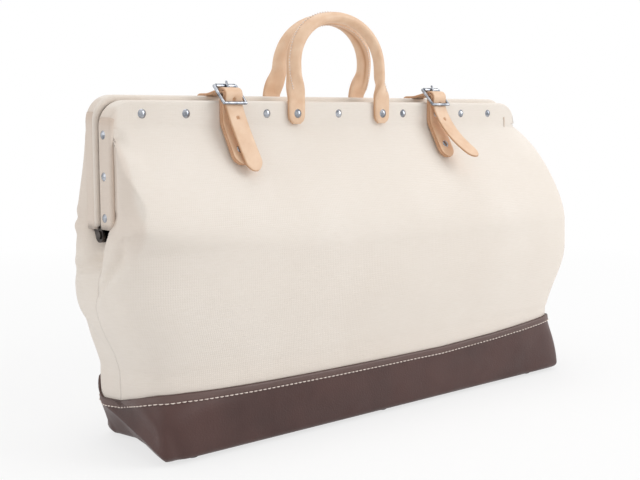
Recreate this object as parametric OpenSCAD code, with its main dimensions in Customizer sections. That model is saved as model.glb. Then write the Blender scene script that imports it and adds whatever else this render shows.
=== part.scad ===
// Canvas tool bag with a coated boot, a two-part hinged steel mouth frame,
// two rolled leather handles and two buckled closing straps.
// Origin: middle of the footprint, on the surface that the bag stands on.
// +X along the mouth, -Y towards the side with the buckles, +Z up. Millimetres.

/* [Body] */
// Length of the base
base_len = 570; // [480:1:640]
// Width of the base
base_w = 150; // [130:1:190]
// Fullest length of the canvas, part way up
bulge_len = 625; // [570:1:690]
// Fullest width of the canvas, part way up
bulge_w = 168; // [140:1:210]
// Height of the fullest part above the base
bulge_rise = 150; // [120:1:164]
// Height of the coated boot above the base
boot_h = 64; // [45:1:85]
// Thickness of the coated boot material
boot_t = 1.8; // [1.2:0.1:2.6]
// Thickness of the canvas
canvas_t = 1.5; // [1:0.1:2]
// Height up to which the lower canvas keeps its shape
rim_z = 188; // [170:1:190]
// How far the soft body lets the mouth frame stand off the middle of the base
lean = 28; // [0:1:40]

/* [Base] */
// Height of a foot below the base
foot_h = 4; // [3:0.5:7]
// Diameter of a foot
foot_d = 14; // [10:0.5:18]
// Diameter of a foot's shank
shank_d = 4; // [3:0.5:5]
// Distance of the outer feet from the ends of the base
foot_end = 40; // [25:1:60]
// Distance of each row of feet from the side of the base
foot_side = 17; // [14:1:30]
// Thickness of the stiffening board
board_t = 3.2; // [2:0.1:5]

/* [Mouth frame] */
// Overall length of the front half
front_len = 548; // [490:1:600]
// How much further the rear half reaches at each end
rear_over = 4; // [3.5:0.5:6]
// Depth of the front half
front_depth = 20; // [16:0.5:26]
// Depth of the rear half
rear_depth = 14; // [13:0.5:24]
// Height of the front half's top edge
front_top = 328; // [310:1:350]
// How much higher the rear half stands
rear_rise = 5; // [2:0.5:8]
// Height of the hinge line
hinge_z = 206; // [200:1:214]
// Height of the covered face of the frame
face_h = 24; // [22:0.5:30]
// Outer radius of the frame's corners
corner_r = 24; // [18:1:34]
// Thickness of the frame steel
steel_t = 1.6; // [1.2:0.1:2.5]
// Gap between the closed halves
halves_gap = 1; // [0.6:0.1:3]
// Height of the leg ends above the hinge line
leg_lift = 8; // [7:0.5:12]

/* [Rivets] */
// Distance between neighbouring rivets along the top
pitch = 48; // [44:0.5:52]
// Distance between neighbouring rivets down a leg
leg_pitch = 37.5; // [30:0.5:38]
// Diameter of a domed rivet head
head_d = 9.4; // [7:0.1:11]
// Height of a domed rivet head
head_h = 2.4; // [1.5:0.1:3.5]
// Diameter of a rivet's shank
rivet_d = 3.8; // [3:0.1:4.5]

/* [Hinge] */
// Diameter of the hinge pin
pin_d = 5; // [4:0.1:6]
// Running clearance round the hinge pin
pin_play = 0.06; // [0.02:0.01:0.1]
// Radius of a hinge lug's eye
eye_r = 7; // [6:0.25:7.5]
// Thickness of a hinge lug
lug_t = 2.6; // [2:0.1:3.5]

/* [Handles] */
// Distance between a handle's two legs, centre to centre
handle_w = 120; // [104:1:140]
// Height of a handle above the rivet line, to its centre line
handle_h = 96; // [85:1:120]
// Diameter of the rolled leather
grip_d = 16; // [13:0.5:19]
// Diameter of the core inside the rolled leather
core_d = 9; // [6:0.5:10]
// Width of a riveted leather tab
tab_w = 21; // [18:0.5:24]
// Thickness of a riveted leather tab
tab_t = 5; // [4:0.5:6]

/* [Straps] */
// Distance of each closing strap from the middle, in rivet spaces
strap_steps = 3; // [2:1:4]
// Width of a closing strap
strap_w = 20; // [16:0.5:24]
// Thickness of the strap leather
strap_t = 2.6; // [2:0.1:3.2]
// Length of a billet's hanging end
billet_drop = 75; // [56:1:80]
// Turn of the right billet's hanging end away from the middle
billet_turn = 17; // [0:1:20]
// Diameter of a punched hole
hole_d = 4; // [3:0.1:5]
// Distance between punched holes
hole_pitch = 18; // [14:0.5:20]

/* [Buckles] */
// Distance between a buckle's middle bar and its roller
buckle_l = 11.8; // [11.5:0.1:16]
// Distance between a buckle's middle bar and its keeper bar
keeper_l = 11.2; // [11:0.1:16]
// How far a buckle's middle bar stands above the front half
buckle_lift = 6; // [3:0.5:8]
// Diameter of the buckle wire
wire_d = 3.2; // [2.6:0.1:3.8]
// Outer diameter of the roller
roller_d = 4.8; // [4.6:0.1:6]
// Wall of the roller tube
roller_t = 0.7; // [0.5:0.1:0.8]
// Diameter of the prong
prong_d = 2.4; // [2:0.1:3]

/* [Hidden] */
$fn = 48;

// Finish colours
canvas_colour = "#E6DCCB";
boot_colour = "#5A403C";
leather_colour = "#E3BC93";
chape_colour = "#D9A77C";
steel_colour = "#77726C";
nickel_colour = "#C9CCD1";
dark_colour = "#2B2A2A";
board_colour = "#8A6B4C";
rope_colour = "#B9A079";

// Clearances and the overrun of every cut
soft_gap = 0.3;
roll_gap = 0.08;
cut = 1;

// Places up the body
floor_z = foot_h;
boot_top = floor_z + boot_h;
bulge_z = floor_z + bulge_rise;
canvas_z = floor_z + boot_t + soft_gap;
board_z = canvas_z + canvas_t + soft_gap;
rivet_drop = face_h / 2;
rivet_z = front_top - rivet_drop;
function rivet_line(top) = top - rivet_drop;
rear_top = front_top + rear_rise;
rear_len = front_len + 2 * rear_over;
foot_pitch = base_len / 2 - foot_end;
foot_rows = base_w - 2 * foot_side;
leg_z = hinge_z + leg_lift;

// Outline rule: shares of the swell at the boot's top edge and at the rim
boot_swell_share = 0.05;
rim_swell_share = 0.97;
mid_share = 0.5;
box_power = 7;
soft_power = 4;
ring_n = 56;
half_n = 30;

function clamp01(v) = min(1, max(0, v));
function ease(v) = let (c = clamp01(v)) c * c * (3 - 2 * c);
function mix(a, b, v) = a + (b - a) * v;
function sgn(v) = v < 0 ? -1 : 1;

// How full the body is at a height: nothing at the base, all of it at bulge_z
function swell(z) =
    z <= boot_top ? boot_swell_share * ease((z - floor_z) / boot_h)
    : z <= bulge_z ? mix(boot_swell_share, 1, ease((z - boot_top) / (bulge_z - boot_top)))
    : mix(1, rim_swell_share, ease((z - bulge_z) / (rim_z - bulge_z)));
function half_len(z) = mix(base_len, bulge_len, swell(z)) / 2;
function half_w(z) = mix(base_w, bulge_w, swell(z)) / 2;
function corner_power(z) = mix(box_power, soft_power, ease((z - floor_z) / (rim_z - floor_z)));

// One level ring of the body, drawn in by an inset
function body_ring(z, inset) = [for (i = [0 : ring_n - 1])
    let (t = 360 * i / ring_n, p = 2 / corner_power(z))
    [(half_len(z) - inset) * sgn(cos(t)) * pow(abs(cos(t)), p),
     (half_w(z) - inset) * sgn(sin(t)) * pow(abs(sin(t)), p), z]];

// Faces of a closed tower of equal rings, the first ring lowest
function tower_faces(n, levels) = concat(
    [[for (i = [0 : n - 1]) i]],
    [for (k = [0 : levels - 2], i = [0 : n - 1])
        [k * n + i, (k + 1) * n + i, (k + 1) * n + (i + 1) % n]],
    [for (k = [0 : levels - 2], i = [0 : n - 1])
        [k * n + i, (k + 1) * n + (i + 1) % n, k * n + (i + 1) % n]],
    [[for (i = [n - 1 : -1 : 0]) (levels - 1) * n + i]]);

module tower(heights, inset) {
    points = [for (z = heights) each body_ring(z, inset)];
    polyhedron(points, tower_faces(ring_n, len(heights)), convexity = 6);
}

boot_levels = [floor_z, mix(floor_z, boot_top, mid_share), boot_top];
body_steps = 8;
body_levels = concat([canvas_z, mix(canvas_z, boot_top, mid_share)],
    [for (k = [0 : body_steps]) mix(boot_top, rim_z, k / body_steps)]);

function foot_places() = [for (x = [-1 : 1], y = [-1, 1]) [x * foot_pitch, y * foot_rows / 2, 0]];

module foot_holes() {
    for (p = foot_places()) translate(p) cylinder(h = rim_z, d = shank_d + 2 * soft_gap);
}

// Coated boot: the outer tray at the foot of the bag
module boot() color(boot_colour) difference() {
    tower(boot_levels, 0);
    intersection() {
        tower([floor_z, mix(floor_z, boot_top, mid_share), boot_top + cut], boot_t);
        translate([-base_len, -base_len, floor_z + boot_t]) cube([2 * base_len, 2 * base_len, rim_z]);
    }
    foot_holes();
}

// Lower canvas: floor, long sides and both end gussets up to the rim
module canvas_body() color(canvas_colour) difference() {
    tower(body_levels, boot_t + soft_gap);
    intersection() {
        tower(concat([canvas_z], [for (k = [1 : len(body_levels) - 2]) body_levels[k]], [rim_z, rim_z + cut]),
            boot_t + soft_gap + canvas_t);
        translate([-base_len, -base_len, canvas_z + canvas_t]) cube([2 * base_len, 2 * base_len, rim_z]);
    }
    foot_holes();
}

// Stiffening board that lies in the bottom
board_inset = boot_t + canvas_t + 4 * soft_gap;
module base_board() color(board_colour) difference() {
    tower([board_z, board_z + board_t], board_inset);
    foot_holes();
}

// Six black studs, each with a shank up through boot, canvas and board
foot_round = 1.5;
shank_top = board_z + board_t + soft_gap;
washer_t = 1;
washer_d = 10;
module feet() color(dark_colour) for (p = foot_places()) translate(p) {
    rotate_extrude() {
        square([foot_d / 2 - foot_round, foot_h - soft_gap]);
        translate([0, foot_round]) square([foot_d / 2, foot_h - soft_gap - foot_round]);
        translate([foot_d / 2 - foot_round, foot_round]) circle(foot_round);
    }
    cylinder(h = shank_top + washer_t, d = shank_d);
}

module foot_washers() color(nickel_colour) for (p = foot_places())
    translate(p + [0, 0, shank_top]) difference() {
        cylinder(h = washer_t, d = washer_d);
        translate([0, 0, -cut]) cylinder(h = washer_t + 2 * cut, d = shank_d + roll_gap);
    }

// Upper canvas: a curtain between the rim and one half of the frame. Its left end runs
// straight up the legs, and its right end bellies out past them. Both halves close below the
// legs and part in front of them: shares of the curtain's height say where.
curtain_levels = 10;
left_knee_share = 0.35;
belly_power = 2.3;
slope_power = 1.4;
slope_share = 0.5;
seam = 0.1;
parting_shares = [0.4, 0.75];
full_l = half_len(rim_z) - boot_t - soft_gap;
full_w = half_w(rim_z) - boot_t - soft_gap;
function left_end(v, l) = -mix(full_l, lean + l / 2 - soft_gap, ease(v / left_knee_share));
function right_end(v, l) = mix(full_l, l / 2 - lean - soft_gap, pow(v, belly_power));
function parted(v, z) = [ease((v - parting_shares[0]) / (parting_shares[1] - parting_shares[0])),
    ease((z - rim_z) / (leg_z - rim_z))];
function curtain(v, u, l, depth, top, inset) =
    let (z = mix(rim_z + soft_gap, top - face_h - soft_gap, v),
        face = face_y(depth) + soft_gap,
        edge = mix(soft_gap / 2, face, parted(v, z) * [1 - u, u]),
        mid = (left_end(v, l) + right_end(v, l)) / 2,
        a = (right_end(v, l) - left_end(v, l)) / 2 - inset,
        b = mix(full_w, face + canvas_t + seam, mix(pow(v, slope_power), ease(v), slope_share)) - inset,
        p = 2 / mix(soft_power, soft_power + 1, v), t = 180 * u)
    [mid + a * sgn(cos(t)) * pow(abs(cos(t)), p),
     -(edge + max(0, b - edge) * pow(abs(sin(t)), p)), z];

function curtain_side(l, depth, top, inset) = [for (k = [0 : curtain_levels - 1], i = [0 : half_n])
    curtain(k / (curtain_levels - 1), i / half_n, l, depth, top, inset)];

// Faces of a sheet with two skins, each of rows by columns points
function sheet_faces(rows, cols) = let (m = rows * cols) concat(
    [for (k = [0 : rows - 2], i = [0 : cols - 2])
        each [[k * cols + i, k * cols + i + 1, (k + 1) * cols + i + 1],
              [k * cols + i, (k + 1) * cols + i + 1, (k + 1) * cols + i]]],
    [for (k = [0 : rows - 2], i = [0 : cols - 2])
        each [[m + k * cols + i, m + (k + 1) * cols + i + 1, m + k * cols + i + 1],
              [m + k * cols + i, m + (k + 1) * cols + i, m + (k + 1) * cols + i + 1]]],
    [for (i = [0 : cols - 2])
        each [[i, m + i, m + i + 1], [i, m + i + 1, i + 1]]],
    [for (i = [0 : cols - 2]) let (r = (rows - 1) * cols)
        each [[r + i, r + i + 1, m + r + i + 1], [r + i, m + r + i + 1, m + r + i]]],
    [for (k = [0 : rows - 2]) let (a = k * cols, b = (k + 1) * cols)
        each [[a, b, m + b], [a, m + b, m + a]]],
    [for (k = [0 : rows - 2]) let (a = k * cols + cols - 1, b = (k + 1) * cols + cols - 1)
        each [[a, m + b, b], [a, m + a, m + b]]]);

module curtain_solid(l, depth, top) difference() {
    points = concat(curtain_side(l, depth, top, 0), curtain_side(l, depth, top, canvas_t));
    polyhedron(points, sheet_faces(curtain_levels, half_n + 1), convexity = 6);
    for (s = [0, 1]) on_frame() mirror([s, 0, 0]) hinge_room(depth);
}

// Room that the canvas leaves round a hinge
hinge_margin = 3;
module hinge_room(depth)
    translate([lug_x(front_len) - hinge_margin, -face_y(depth) - 2 * soft_gap, hinge_z - eye_r - hinge_margin])
        cube([front_len, 2 * face_y(depth) + 4 * soft_gap, leg_lift + eye_r + 2 * hinge_margin]);

// Upper canvas on the buckle side and on the far side
module front_canvas() color(canvas_colour) curtain_solid(front_len, front_depth, front_top);
module rear_canvas() color(canvas_colour) mirror([0, 1, 0])
    curtain_solid(rear_len, rear_depth, rear_top);

// Frame pieces are drawn as for the front half; the rear half is their mirror image
module on_frame() translate([-lean, 0, 0]) children();
module far_side() mirror([0, 1, 0]) children();
function face_y(depth) = halves_gap / 2 + depth;

// Filled U outline and U band in the plane of the frame
module u_plate(l, top, bottom, r) {
    translate([-l / 2, bottom]) square([l, top - r - bottom]);
    translate([r - l / 2, bottom]) square([l - 2 * r, top - bottom]);
    for (x = [-1, 1]) translate([x * (l / 2 - r), top - r]) circle(r);
}

min_r = 2;
module u_band(l, top, bottom, r, w) difference() {
    u_plate(l, top, bottom, r);
    u_plate(l - 2 * w, top - w, bottom - cut, max(r - w, min_r));
}

// Lays an outline of the frame's plane between two depths in front of the middle
module lay(y, t) translate([0, -y, 0]) rotate([90, 0, 0]) linear_extrude(t) children();

// Rivet places: steps along the top that hold nothing but canvas
end_step = floor((front_len / 2 - rivet_drop) / pitch);
handle_step = 1;
plain_steps = [for (k = [-end_step : end_step]) if (abs(k) != handle_step && abs(k) != strap_steps) k];
leg_first = 19;
leg_rivets = 3;
hole_play = 0.2;
tail_h = 0.8;
tail_d = 7;
skin = canvas_t + soft_gap;

// Rivet places down a leg. The front half shows all of them; in the rear half only the lowest is
// there, under the canvas, where it holds the hinge lug.
module leg_places(depth, first, last) for (k = [first : last], s = [-1, 1])
    translate([0, -face_y(depth / 2), rivet_z - leg_first - k * leg_pitch])
        rotate([0, s * 90, 0]) children();

// Steel angle bent into a U: an edge flange and a face flange
module rail(l, depth, top, first_leg) difference() {
    union() {
        lay(halves_gap / 2 + skin, depth - 2 * skin)
            u_band(l - 2 * skin, top - skin, leg_z, corner_r - skin, steel_t);
        lay(face_y(depth) - skin - steel_t, steel_t)
            u_band(l - 2 * skin, top - skin, leg_z, corner_r - skin, face_h - 2 * skin);
    }
    frame_rivet_cuts(l, depth, top);
    leg_cuts(l, depth, first_leg);
}

module frame_rivet_cuts(l, depth, top) {
    for (k = plain_steps) frame_cut(k * pitch, depth, top);
    for (s = [-1, 1]) {
        frame_cut(s * strap_steps * pitch, depth, top);
        frame_cut(s * handle_w / 2, depth, top);
    }
}

module leg_cuts(l, depth, first) leg_places(depth, first, leg_rivets - 1)
    translate([0, 0, l / 2 - face_h / 2]) cylinder(h = face_h, d = rivet_d + hole_play);

module frame_cut(x, depth, top) translate([x, cut - face_y(depth) + skin + steel_t, rivet_line(top)])
    rotate([90, 0, 0]) cylinder(h = skin + steel_t + 2 * cut, d = rivet_d + hole_play);

// Canvas turned round the steel: edge, face and a short return
return_w = 8;
module hem(l, depth, top) difference() {
    union() {
        lay(halves_gap / 2, depth) u_band(l, top, leg_z, corner_r, canvas_t);
        lay(face_y(depth) - canvas_t, canvas_t) u_band(l, top, leg_z, corner_r, face_h);
        lay(halves_gap / 2, canvas_t) u_band(l, top, leg_z, corner_r, return_w);
    }
    frame_rivet_cuts(l, depth, top);
}

module front_rail() color(steel_colour) on_frame() rail(front_len, front_depth, front_top, 0);
module rear_rail() color(steel_colour) on_frame() far_side()
    rail(rear_len, rear_depth, rear_top, leg_rivets - 1);
module front_hem() color(canvas_colour) on_frame() difference() {
    hem(front_len, front_depth, front_top);
    leg_cuts(front_len, front_depth, 0);
}
module rear_hem() color(canvas_colour) on_frame() far_side() hem(rear_len, rear_depth, rear_top);

// Domed rivet: the head stands on z = 0 and the shank goes down through the grip
dome_r = (head_d * head_d / 4 + head_h * head_h) / (2 * head_h);
module rivet(grip) {
    intersection() {
        translate([0, 0, head_h - dome_r]) sphere(dome_r);
        cylinder(h = head_h, d = head_d);
    }
    translate([0, 0, -grip]) cylinder(h = grip + soft_gap, d = rivet_d);
    translate([0, 0, -grip - tail_h]) cylinder(h = tail_h, d = tail_d);
}

module face_rivet(x, depth, top, stack) translate([x, -face_y(depth) - stack, rivet_line(top)])
    rotate([90, 0, 0]) rivet(stack + skin + steel_t);

tab_stack = soft_gap + tab_t;
layer_gap = 0.1;
chape_stack = soft_gap + 2 * strap_t + layer_gap;
lap = 0.05;
billet_stack = soft_gap + strap_t + 2 * lap;

module rivets(l, depth, top, strap_stack) {
    for (k = plain_steps) face_rivet(k * pitch, depth, top, 0);
    for (s = [-1, 1]) {
        face_rivet(s * handle_w / 2, depth, top, tab_stack);
        face_rivet(s * strap_steps * pitch, depth, top, strap_stack);
    }
}

module front_rivets() color(nickel_colour) on_frame() {
    rivets(front_len, front_depth, front_top, chape_stack);
    leg_places(front_depth, 0, leg_rivets - 2) translate([0, 0, front_len / 2]) rivet(skin + steel_t);
    leg_places(front_depth, leg_rivets - 1, leg_rivets - 1) translate([0, 0, front_len / 2])
        rivet(skin + steel_t + lug_t);
}

module rear_rivets() color(nickel_colour) on_frame() far_side() {
    rivets(rear_len, rear_depth, rear_top, billet_stack);
    leg_places(rear_depth, leg_rivets - 1, leg_rivets - 1) translate([0, 0, rear_len / 2 - skin]) {
        translate([0, 0, -steel_t - lug_t]) cylinder(h = steel_t + lug_t, d = rivet_d);
        translate([0, 0, -steel_t - lug_t - tail_h]) cylinder(h = tail_h, d = tail_d);
    }
}

// Hinge lugs: an eye below each leg with an arm riveted inside the leg
lug_rise = 16;
arm_edge = halves_gap / 2 + canvas_t + 2 * soft_gap;
eye_share = 0.6;
function lug_x(l) = l / 2 - skin - steel_t - lug_t;
module lug_outline(depth) difference() {
    union() {
        circle(eye_r);
        polygon([[-depth + skin + steel_t, leg_lift + lug_rise], [-depth + skin + steel_t, leg_lift],
            [-eye_r * sqrt(1 - eye_share * eye_share), -eye_r * eye_share], [0, 0],
            [-arm_edge, sqrt(eye_r * eye_r - arm_edge * arm_edge)],
            [-arm_edge, leg_lift + lug_rise]]);
    }
    circle(pin_d / 2 + pin_play);
}

module lugs(l, depth) for (s = [-1, 1]) difference() {
    translate([s > 0 ? lug_x(l) : -lug_x(l) - lug_t, 0, hinge_z])
        rotate([90, 0, 90]) linear_extrude(lug_t) lug_outline(depth);
    leg_places(depth, leg_rivets - 1, leg_rivets - 1) translate([0, 0, l / 2 - face_h / 2])
        cylinder(h = face_h, d = rivet_d + hole_play);
}

module front_lugs() color(dark_colour) on_frame() lugs(front_len, front_depth);
module rear_lugs() color(dark_colour) on_frame() far_side() lugs(rear_len, rear_depth);

// Headed hinge pins, one at each end of the mouth
pin_head_d = 8;
pin_head_h = 1.4;
module hinge_pins() color(dark_colour) on_frame() for (s = [0, 1]) mirror([s, 0, 0])
    translate([0, 0, hinge_z]) rotate([0, 90, 0]) {
        inner = lug_x(front_len) - roll_gap;
        outer = lug_x(rear_len) + lug_t + roll_gap;
        translate([0, 0, inner - pin_head_h]) cylinder(h = pin_head_h, d = pin_head_d);
        translate([0, 0, inner - cut]) cylinder(h = outer - inner + 2 * cut, d = pin_d);
        translate([0, 0, outer]) cylinder(h = pin_head_h, d = pin_head_d);
    }

// Handle tabs: flat leather riveted to the face, up to the fold
fold_rise = 4;
module tabs(depth, top) for (s = [-1, 1]) translate([s * handle_w / 2, 0, 0])
    difference() {
        lay(face_y(depth) + soft_gap, tab_t) {
            translate([0, rivet_line(top)]) circle(d = tab_w);
            translate([-tab_w / 2, rivet_line(top)]) square([tab_w, rivet_drop + fold_rise]);
        }
        translate([0, cut - face_y(depth), rivet_line(top)]) rotate([90, 0, 0])
            cylinder(h = tab_t + 2 * cut, d = rivet_d + hole_play);
    }

module front_tabs() color(leather_colour) on_frame() tabs(front_depth, front_top);
module rear_tabs() color(leather_colour) on_frame() far_side() tabs(rear_depth, rear_top);

// Handle line in its own plane: a leg up each side and a flattened arch between them
front_tilt = 3;
rear_tilt = 7;
arch_share = 0.4;
arch_h = handle_w * arch_share;
root_h = 26;
leg_steps = 9;
arch_steps = 24;
grip_n = 14;
core_n = 10;
function arch_top(top) = rivet_z + handle_h - arch_h - top - fold_rise;

// Stations along a handle: [x, z, tangent angle, height up the nearer leg]
function stations(leg_h, from_h) = concat(
    [for (k = [0 : leg_steps - 1]) let (z = mix(from_h, leg_h, k / leg_steps))
        [handle_w / 2, z, 90, z]],
    [for (k = [0 : arch_steps]) let (a = 180 * k / arch_steps)
        [handle_w / 2 * cos(a), leg_h + arch_h * sin(a),
         atan2(arch_h * cos(a), -handle_w / 2 * sin(a)), leg_h]],
    [for (k = [leg_steps - 1 : -1 : 0]) let (z = mix(from_h, leg_h, k / leg_steps))
        [-handle_w / 2, z, 270, z]]);

// Section at a station: a flat tab at the fold that rounds into the rolled leather
function section(st, wide, deep, power, sides) = [for (i = [0 : sides - 1])
    let (a = 360 * i / sides, p = 2 / power,
        n = wide * sgn(cos(a)) * pow(abs(cos(a)), p), y = deep * sgn(sin(a)) * pow(abs(sin(a)), p))
    [st[0] + n * sin(st[2]), y, st[1] - n * cos(st[2])]];

function rolled(st) = let (v = ease(st[3] / root_h))
    section(st, mix(tab_w, grip_d, v) / 2, mix(tab_t, grip_d, v) / 2, mix(box_power, 2, v), grip_n);

module swept(rings, sides)
    polyhedron([for (r = rings) each r], tower_faces(sides, len(rings)), convexity = 8);

// The handle above the fold, leaning a little towards its twin
module lean_handle(depth, top, tilt) translate([0, -face_y(depth) - soft_gap, top + fold_rise])
    rotate([-tilt, 0, 0]) translate([0, -tab_t / 2, 0]) children();

module core_line(top, d)
    swept([for (st = stations(arch_top(top), root_h)) section(st, d / 2, d / 2, 2, core_n)], core_n);

module grip(depth, top, tilt) lean_handle(depth, top, tilt) difference() {
    swept([for (st = stations(arch_top(top), 0)) rolled(st)], grip_n);
    core_line(top, core_d);
}

module core(depth, top, tilt) lean_handle(depth, top, tilt) core_line(top, core_d - 2 * soft_gap);

module front_grip() color(leather_colour) on_frame() grip(front_depth, front_top, front_tilt);
module rear_grip() color(leather_colour) on_frame() far_side() grip(rear_depth, rear_top, rear_tilt);
module front_core() color(rope_colour) on_frame() core(front_depth, front_top, front_tilt);
module rear_core() color(rope_colour) on_frame() far_side() core(rear_depth, rear_top, rear_tilt);

// Strip of leather seen from its edge, as a path of [y, z] points with a thickness
function unit(v) = v / norm(v);
function side_of(v) = [-v[1], v[0]];
function path_normal(p, i) =
    i == 0 ? side_of(unit(p[1] - p[0]))
    : i == len(p) - 1 ? side_of(unit(p[i] - p[i - 1]))
    : let (a = side_of(unit(p[i] - p[i - 1])), b = side_of(unit(p[i + 1] - p[i])))
        (a + b) / (1 + a * b);
function beside(p, d) = [for (i = [0 : len(p) - 1]) p[i] + d * path_normal(p, i)];
module ribbon(p, t, w) rotate([90, 0, 90]) translate([0, 0, -w / 2]) linear_extrude(w)
    polygon(concat(beside(p, t / 2), [for (i = [len(p) - 1 : -1 : 0]) beside(p, -t / 2)[i]]));

// Middle bar of a buckle, and the loop of chape leather round it
buckle_lean = 45;
loop_r = wire_d / 2 + soft_gap + strap_t / 2;
heel_y = -face_y(front_depth) - soft_gap - loop_r - strap_t / 2;
heel_z = front_top + buckle_lift;
drape_share = 0.92;
drape = atan((full_w - face_y(front_depth) - canvas_t) / ((front_top - face_h - rim_z) * drape_share));
bend_rise = 3;
chape_bend_z = front_top - face_h + bend_rise;
chape_l = 46;
loop_neck = 5;
inner_y = heel_y + loop_r;
outer_y = inner_y - strap_t - layer_gap;

inner_path = [[inner_y, chape_bend_z] - (chape_l + strap_w) * [sin(drape), cos(drape)], [inner_y, chape_bend_z], [inner_y, heel_z]];
outer_path = beside([inner_path[0], inner_path[1], [inner_y, heel_z - loop_neck]],
    strap_t + layer_gap);
loop_arc = [for (a = [30 : 30 : 210]) [heel_y + loop_r * cos(a), heel_z + loop_r * sin(a)]];
chape_path = concat(inner_path, loop_arc, [outer_path[2], outer_path[1], outer_path[0]]);

// A flat piece that lies along the draped end of a chape, measured from the bend
module on_drape(along) translate([0, inner_y, chape_bend_z]) rotate([-drape, 0, 0])
    translate([0, 0, -along]) rotate([90, 0, 0]) children();

// Takes away what lies past a rounded tip, a little wider than the strap
tip_share = 1.25;
module tip_cut(below, above) translate([0, 0, -below - cut]) difference() {
    translate([-strap_w, -2 * strap_w, 0]) cube([2 * strap_w, 2 * strap_w, below + above + 2 * cut]);
    translate([0, 0, -cut]) cylinder(h = below + above + 4 * cut, d = tip_d);
}

prong_slot = 4.4;
chape_rivet_at = 31;
tip_d = strap_w * tip_share;
module chape() difference() {
    ribbon(chape_path, strap_t, strap_w);
    on_drape(chape_l - tip_d / 2) tip_cut(strap_t, 2 * strap_t);
    translate([-prong_slot / 2, heel_y - 2 * loop_r, heel_z - loop_neck])
        cube([prong_slot, 4 * loop_r, 4 * loop_r]);
    translate([0, cut - face_y(front_depth), rivet_z]) rotate([90, 0, 0])
        cylinder(h = chape_stack + 2 * cut, d = rivet_d + hole_play);
    on_drape(chape_rivet_at) translate([0, 0, -strap_t]) cylinder(h = 4 * strap_t, d = rivet_d + hole_play);
}

module at_strap(side) on_frame() translate([side * strap_steps * pitch, 0, 0]) children();
module left_chape() color(chape_colour) at_strap(-1) chape();
module right_chape() color(chape_colour) at_strap(1) chape();

// Second rivet of each chape, through its two layers only
module chape_rivets() color(nickel_colour) for (side = [-1, 1]) at_strap(side)
    on_drape(chape_rivet_at) translate([0, 0, strap_t * 1.5 + layer_gap])
        rivet(2 * strap_t + layer_gap);

// Buckle pieces stand on the middle bar and lean back over the top edge
module on_buckle(side) at_strap(side) translate([0, heel_y, heel_z]) rotate([-buckle_lean, 0, 0]) children();
module bar(l, d) rotate([0, 90, 0]) translate([0, 0, -l / 2]) cylinder(h = l, d = d);
buckle_w = strap_w + 2 * soft_gap + wire_d + 2;
roller_bar_d = roller_d - 2 * roller_t - 2 * roll_gap;

module buckle() {
    bar(buckle_w, wire_d);
    translate([0, 0, buckle_l]) bar(buckle_w, roller_bar_d);
    translate([0, 0, -keeper_l]) bar(buckle_w, wire_d);
    for (s = [-1, 1]) translate([s * buckle_w / 2, 0, -keeper_l]) {
        cylinder(h = keeper_l + buckle_l, d = wire_d);
        sphere(d = wire_d);
        translate([0, 0, keeper_l + buckle_l]) sphere(d = wire_d);
    }
}

module roller() translate([0, 0, buckle_l]) difference() {
    bar(buckle_w - wire_d - 2 * soft_gap, roller_d);
    bar(buckle_w, roller_d - 2 * roller_t);
}

ring_w = 3.4;
ring_d = wire_d + 2 * roll_gap + prong_d;
prong_angle = asin((roller_d / 2 + roll_gap + prong_d / 2) / buckle_l);
prong_l = buckle_l + roller_d / 2;
module prong() {
    difference() {
        union() {
            bar(ring_w, ring_d);
            rotate([prong_angle, 0, 0]) cylinder(h = prong_l, d = prong_d);
        }
        bar(ring_w + 2 * cut, wire_d + 2 * roll_gap);
    }
    rotate([prong_angle, 0, 0]) translate([0, 0, prong_l]) sphere(d = prong_d);
}

module left_buckle() color(nickel_colour) on_buckle(-1) buckle();
module right_buckle() color(nickel_colour) on_buckle(1) buckle();
module left_roller() color(nickel_colour) on_buckle(-1) roller();
module right_roller() color(nickel_colour) on_buckle(1) roller();
module left_prong() color(nickel_colour) on_buckle(-1) prong();
module right_prong() color(nickel_colour) on_buckle(1) prong();

// Billet: from the rear rivet, over the closed mouth, under the roller, over the chape loop and
// down behind the keeper bar
hang_lift = 8;
hang = drape - hang_lift;
under = roller_d / 2 + soft_gap + strap_t / 2;
over = loop_r + strap_t + soft_gap;
tuck = wire_d / 2 + soft_gap + strap_t / 2;
pass = asin((under + over) / buckle_l);
dive = asin((tuck + over) / keeper_l);
function buckle_point(s, n) = [heel_y, heel_z] + s * [sin(buckle_lean), cos(buckle_lean)]
    + n * [-cos(buckle_lean), sin(buckle_lean)];
function heel_arc(a) = [heel_y, heel_z] + over * [cos(a), sin(a)];
over_from = 90 + buckle_lean - pass;
over_to = 90 + buckle_lean + dive;
corner_bend = soft_gap + strap_t / 2;
back_y = face_y(rear_depth) + corner_bend;
back_z = rivet_line(rear_top);
function keeper_arc(a) = buckle_point(-keeper_l, 0) + tuck * [cos(a), sin(a)];
tuck_from = over_to - 180;
hang_start = keeper_arc(-hang);
hang_dir = [-sin(hang), -cos(hang)];
hang_lead = 12;
bend_steps = 5;
billet_path = concat([[back_y, back_z]],
    [for (a = [0 : 30 : 90]) [face_y(rear_depth) + corner_bend * cos(a), rear_top + corner_bend * sin(a)]],
    [[0, rear_top + corner_bend], buckle_point(buckle_l - under * sin(pass), -under * cos(pass))],
    [for (k = [0 : bend_steps]) heel_arc(mix(over_from, over_to, k / bend_steps))],
    [for (k = [0 : bend_steps]) keeper_arc(mix(tuck_from, -hang, k / bend_steps))],
    [hang_start + hang_lead * hang_dir]);

module on_hang(along) translate([0, hang_start[0], hang_start[1]]) rotate([-hang, 0, 0])
    translate([0, 0, -along]) rotate([90, 0, 0]) translate([0, 0, -strap_t / 2]) children();

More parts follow.
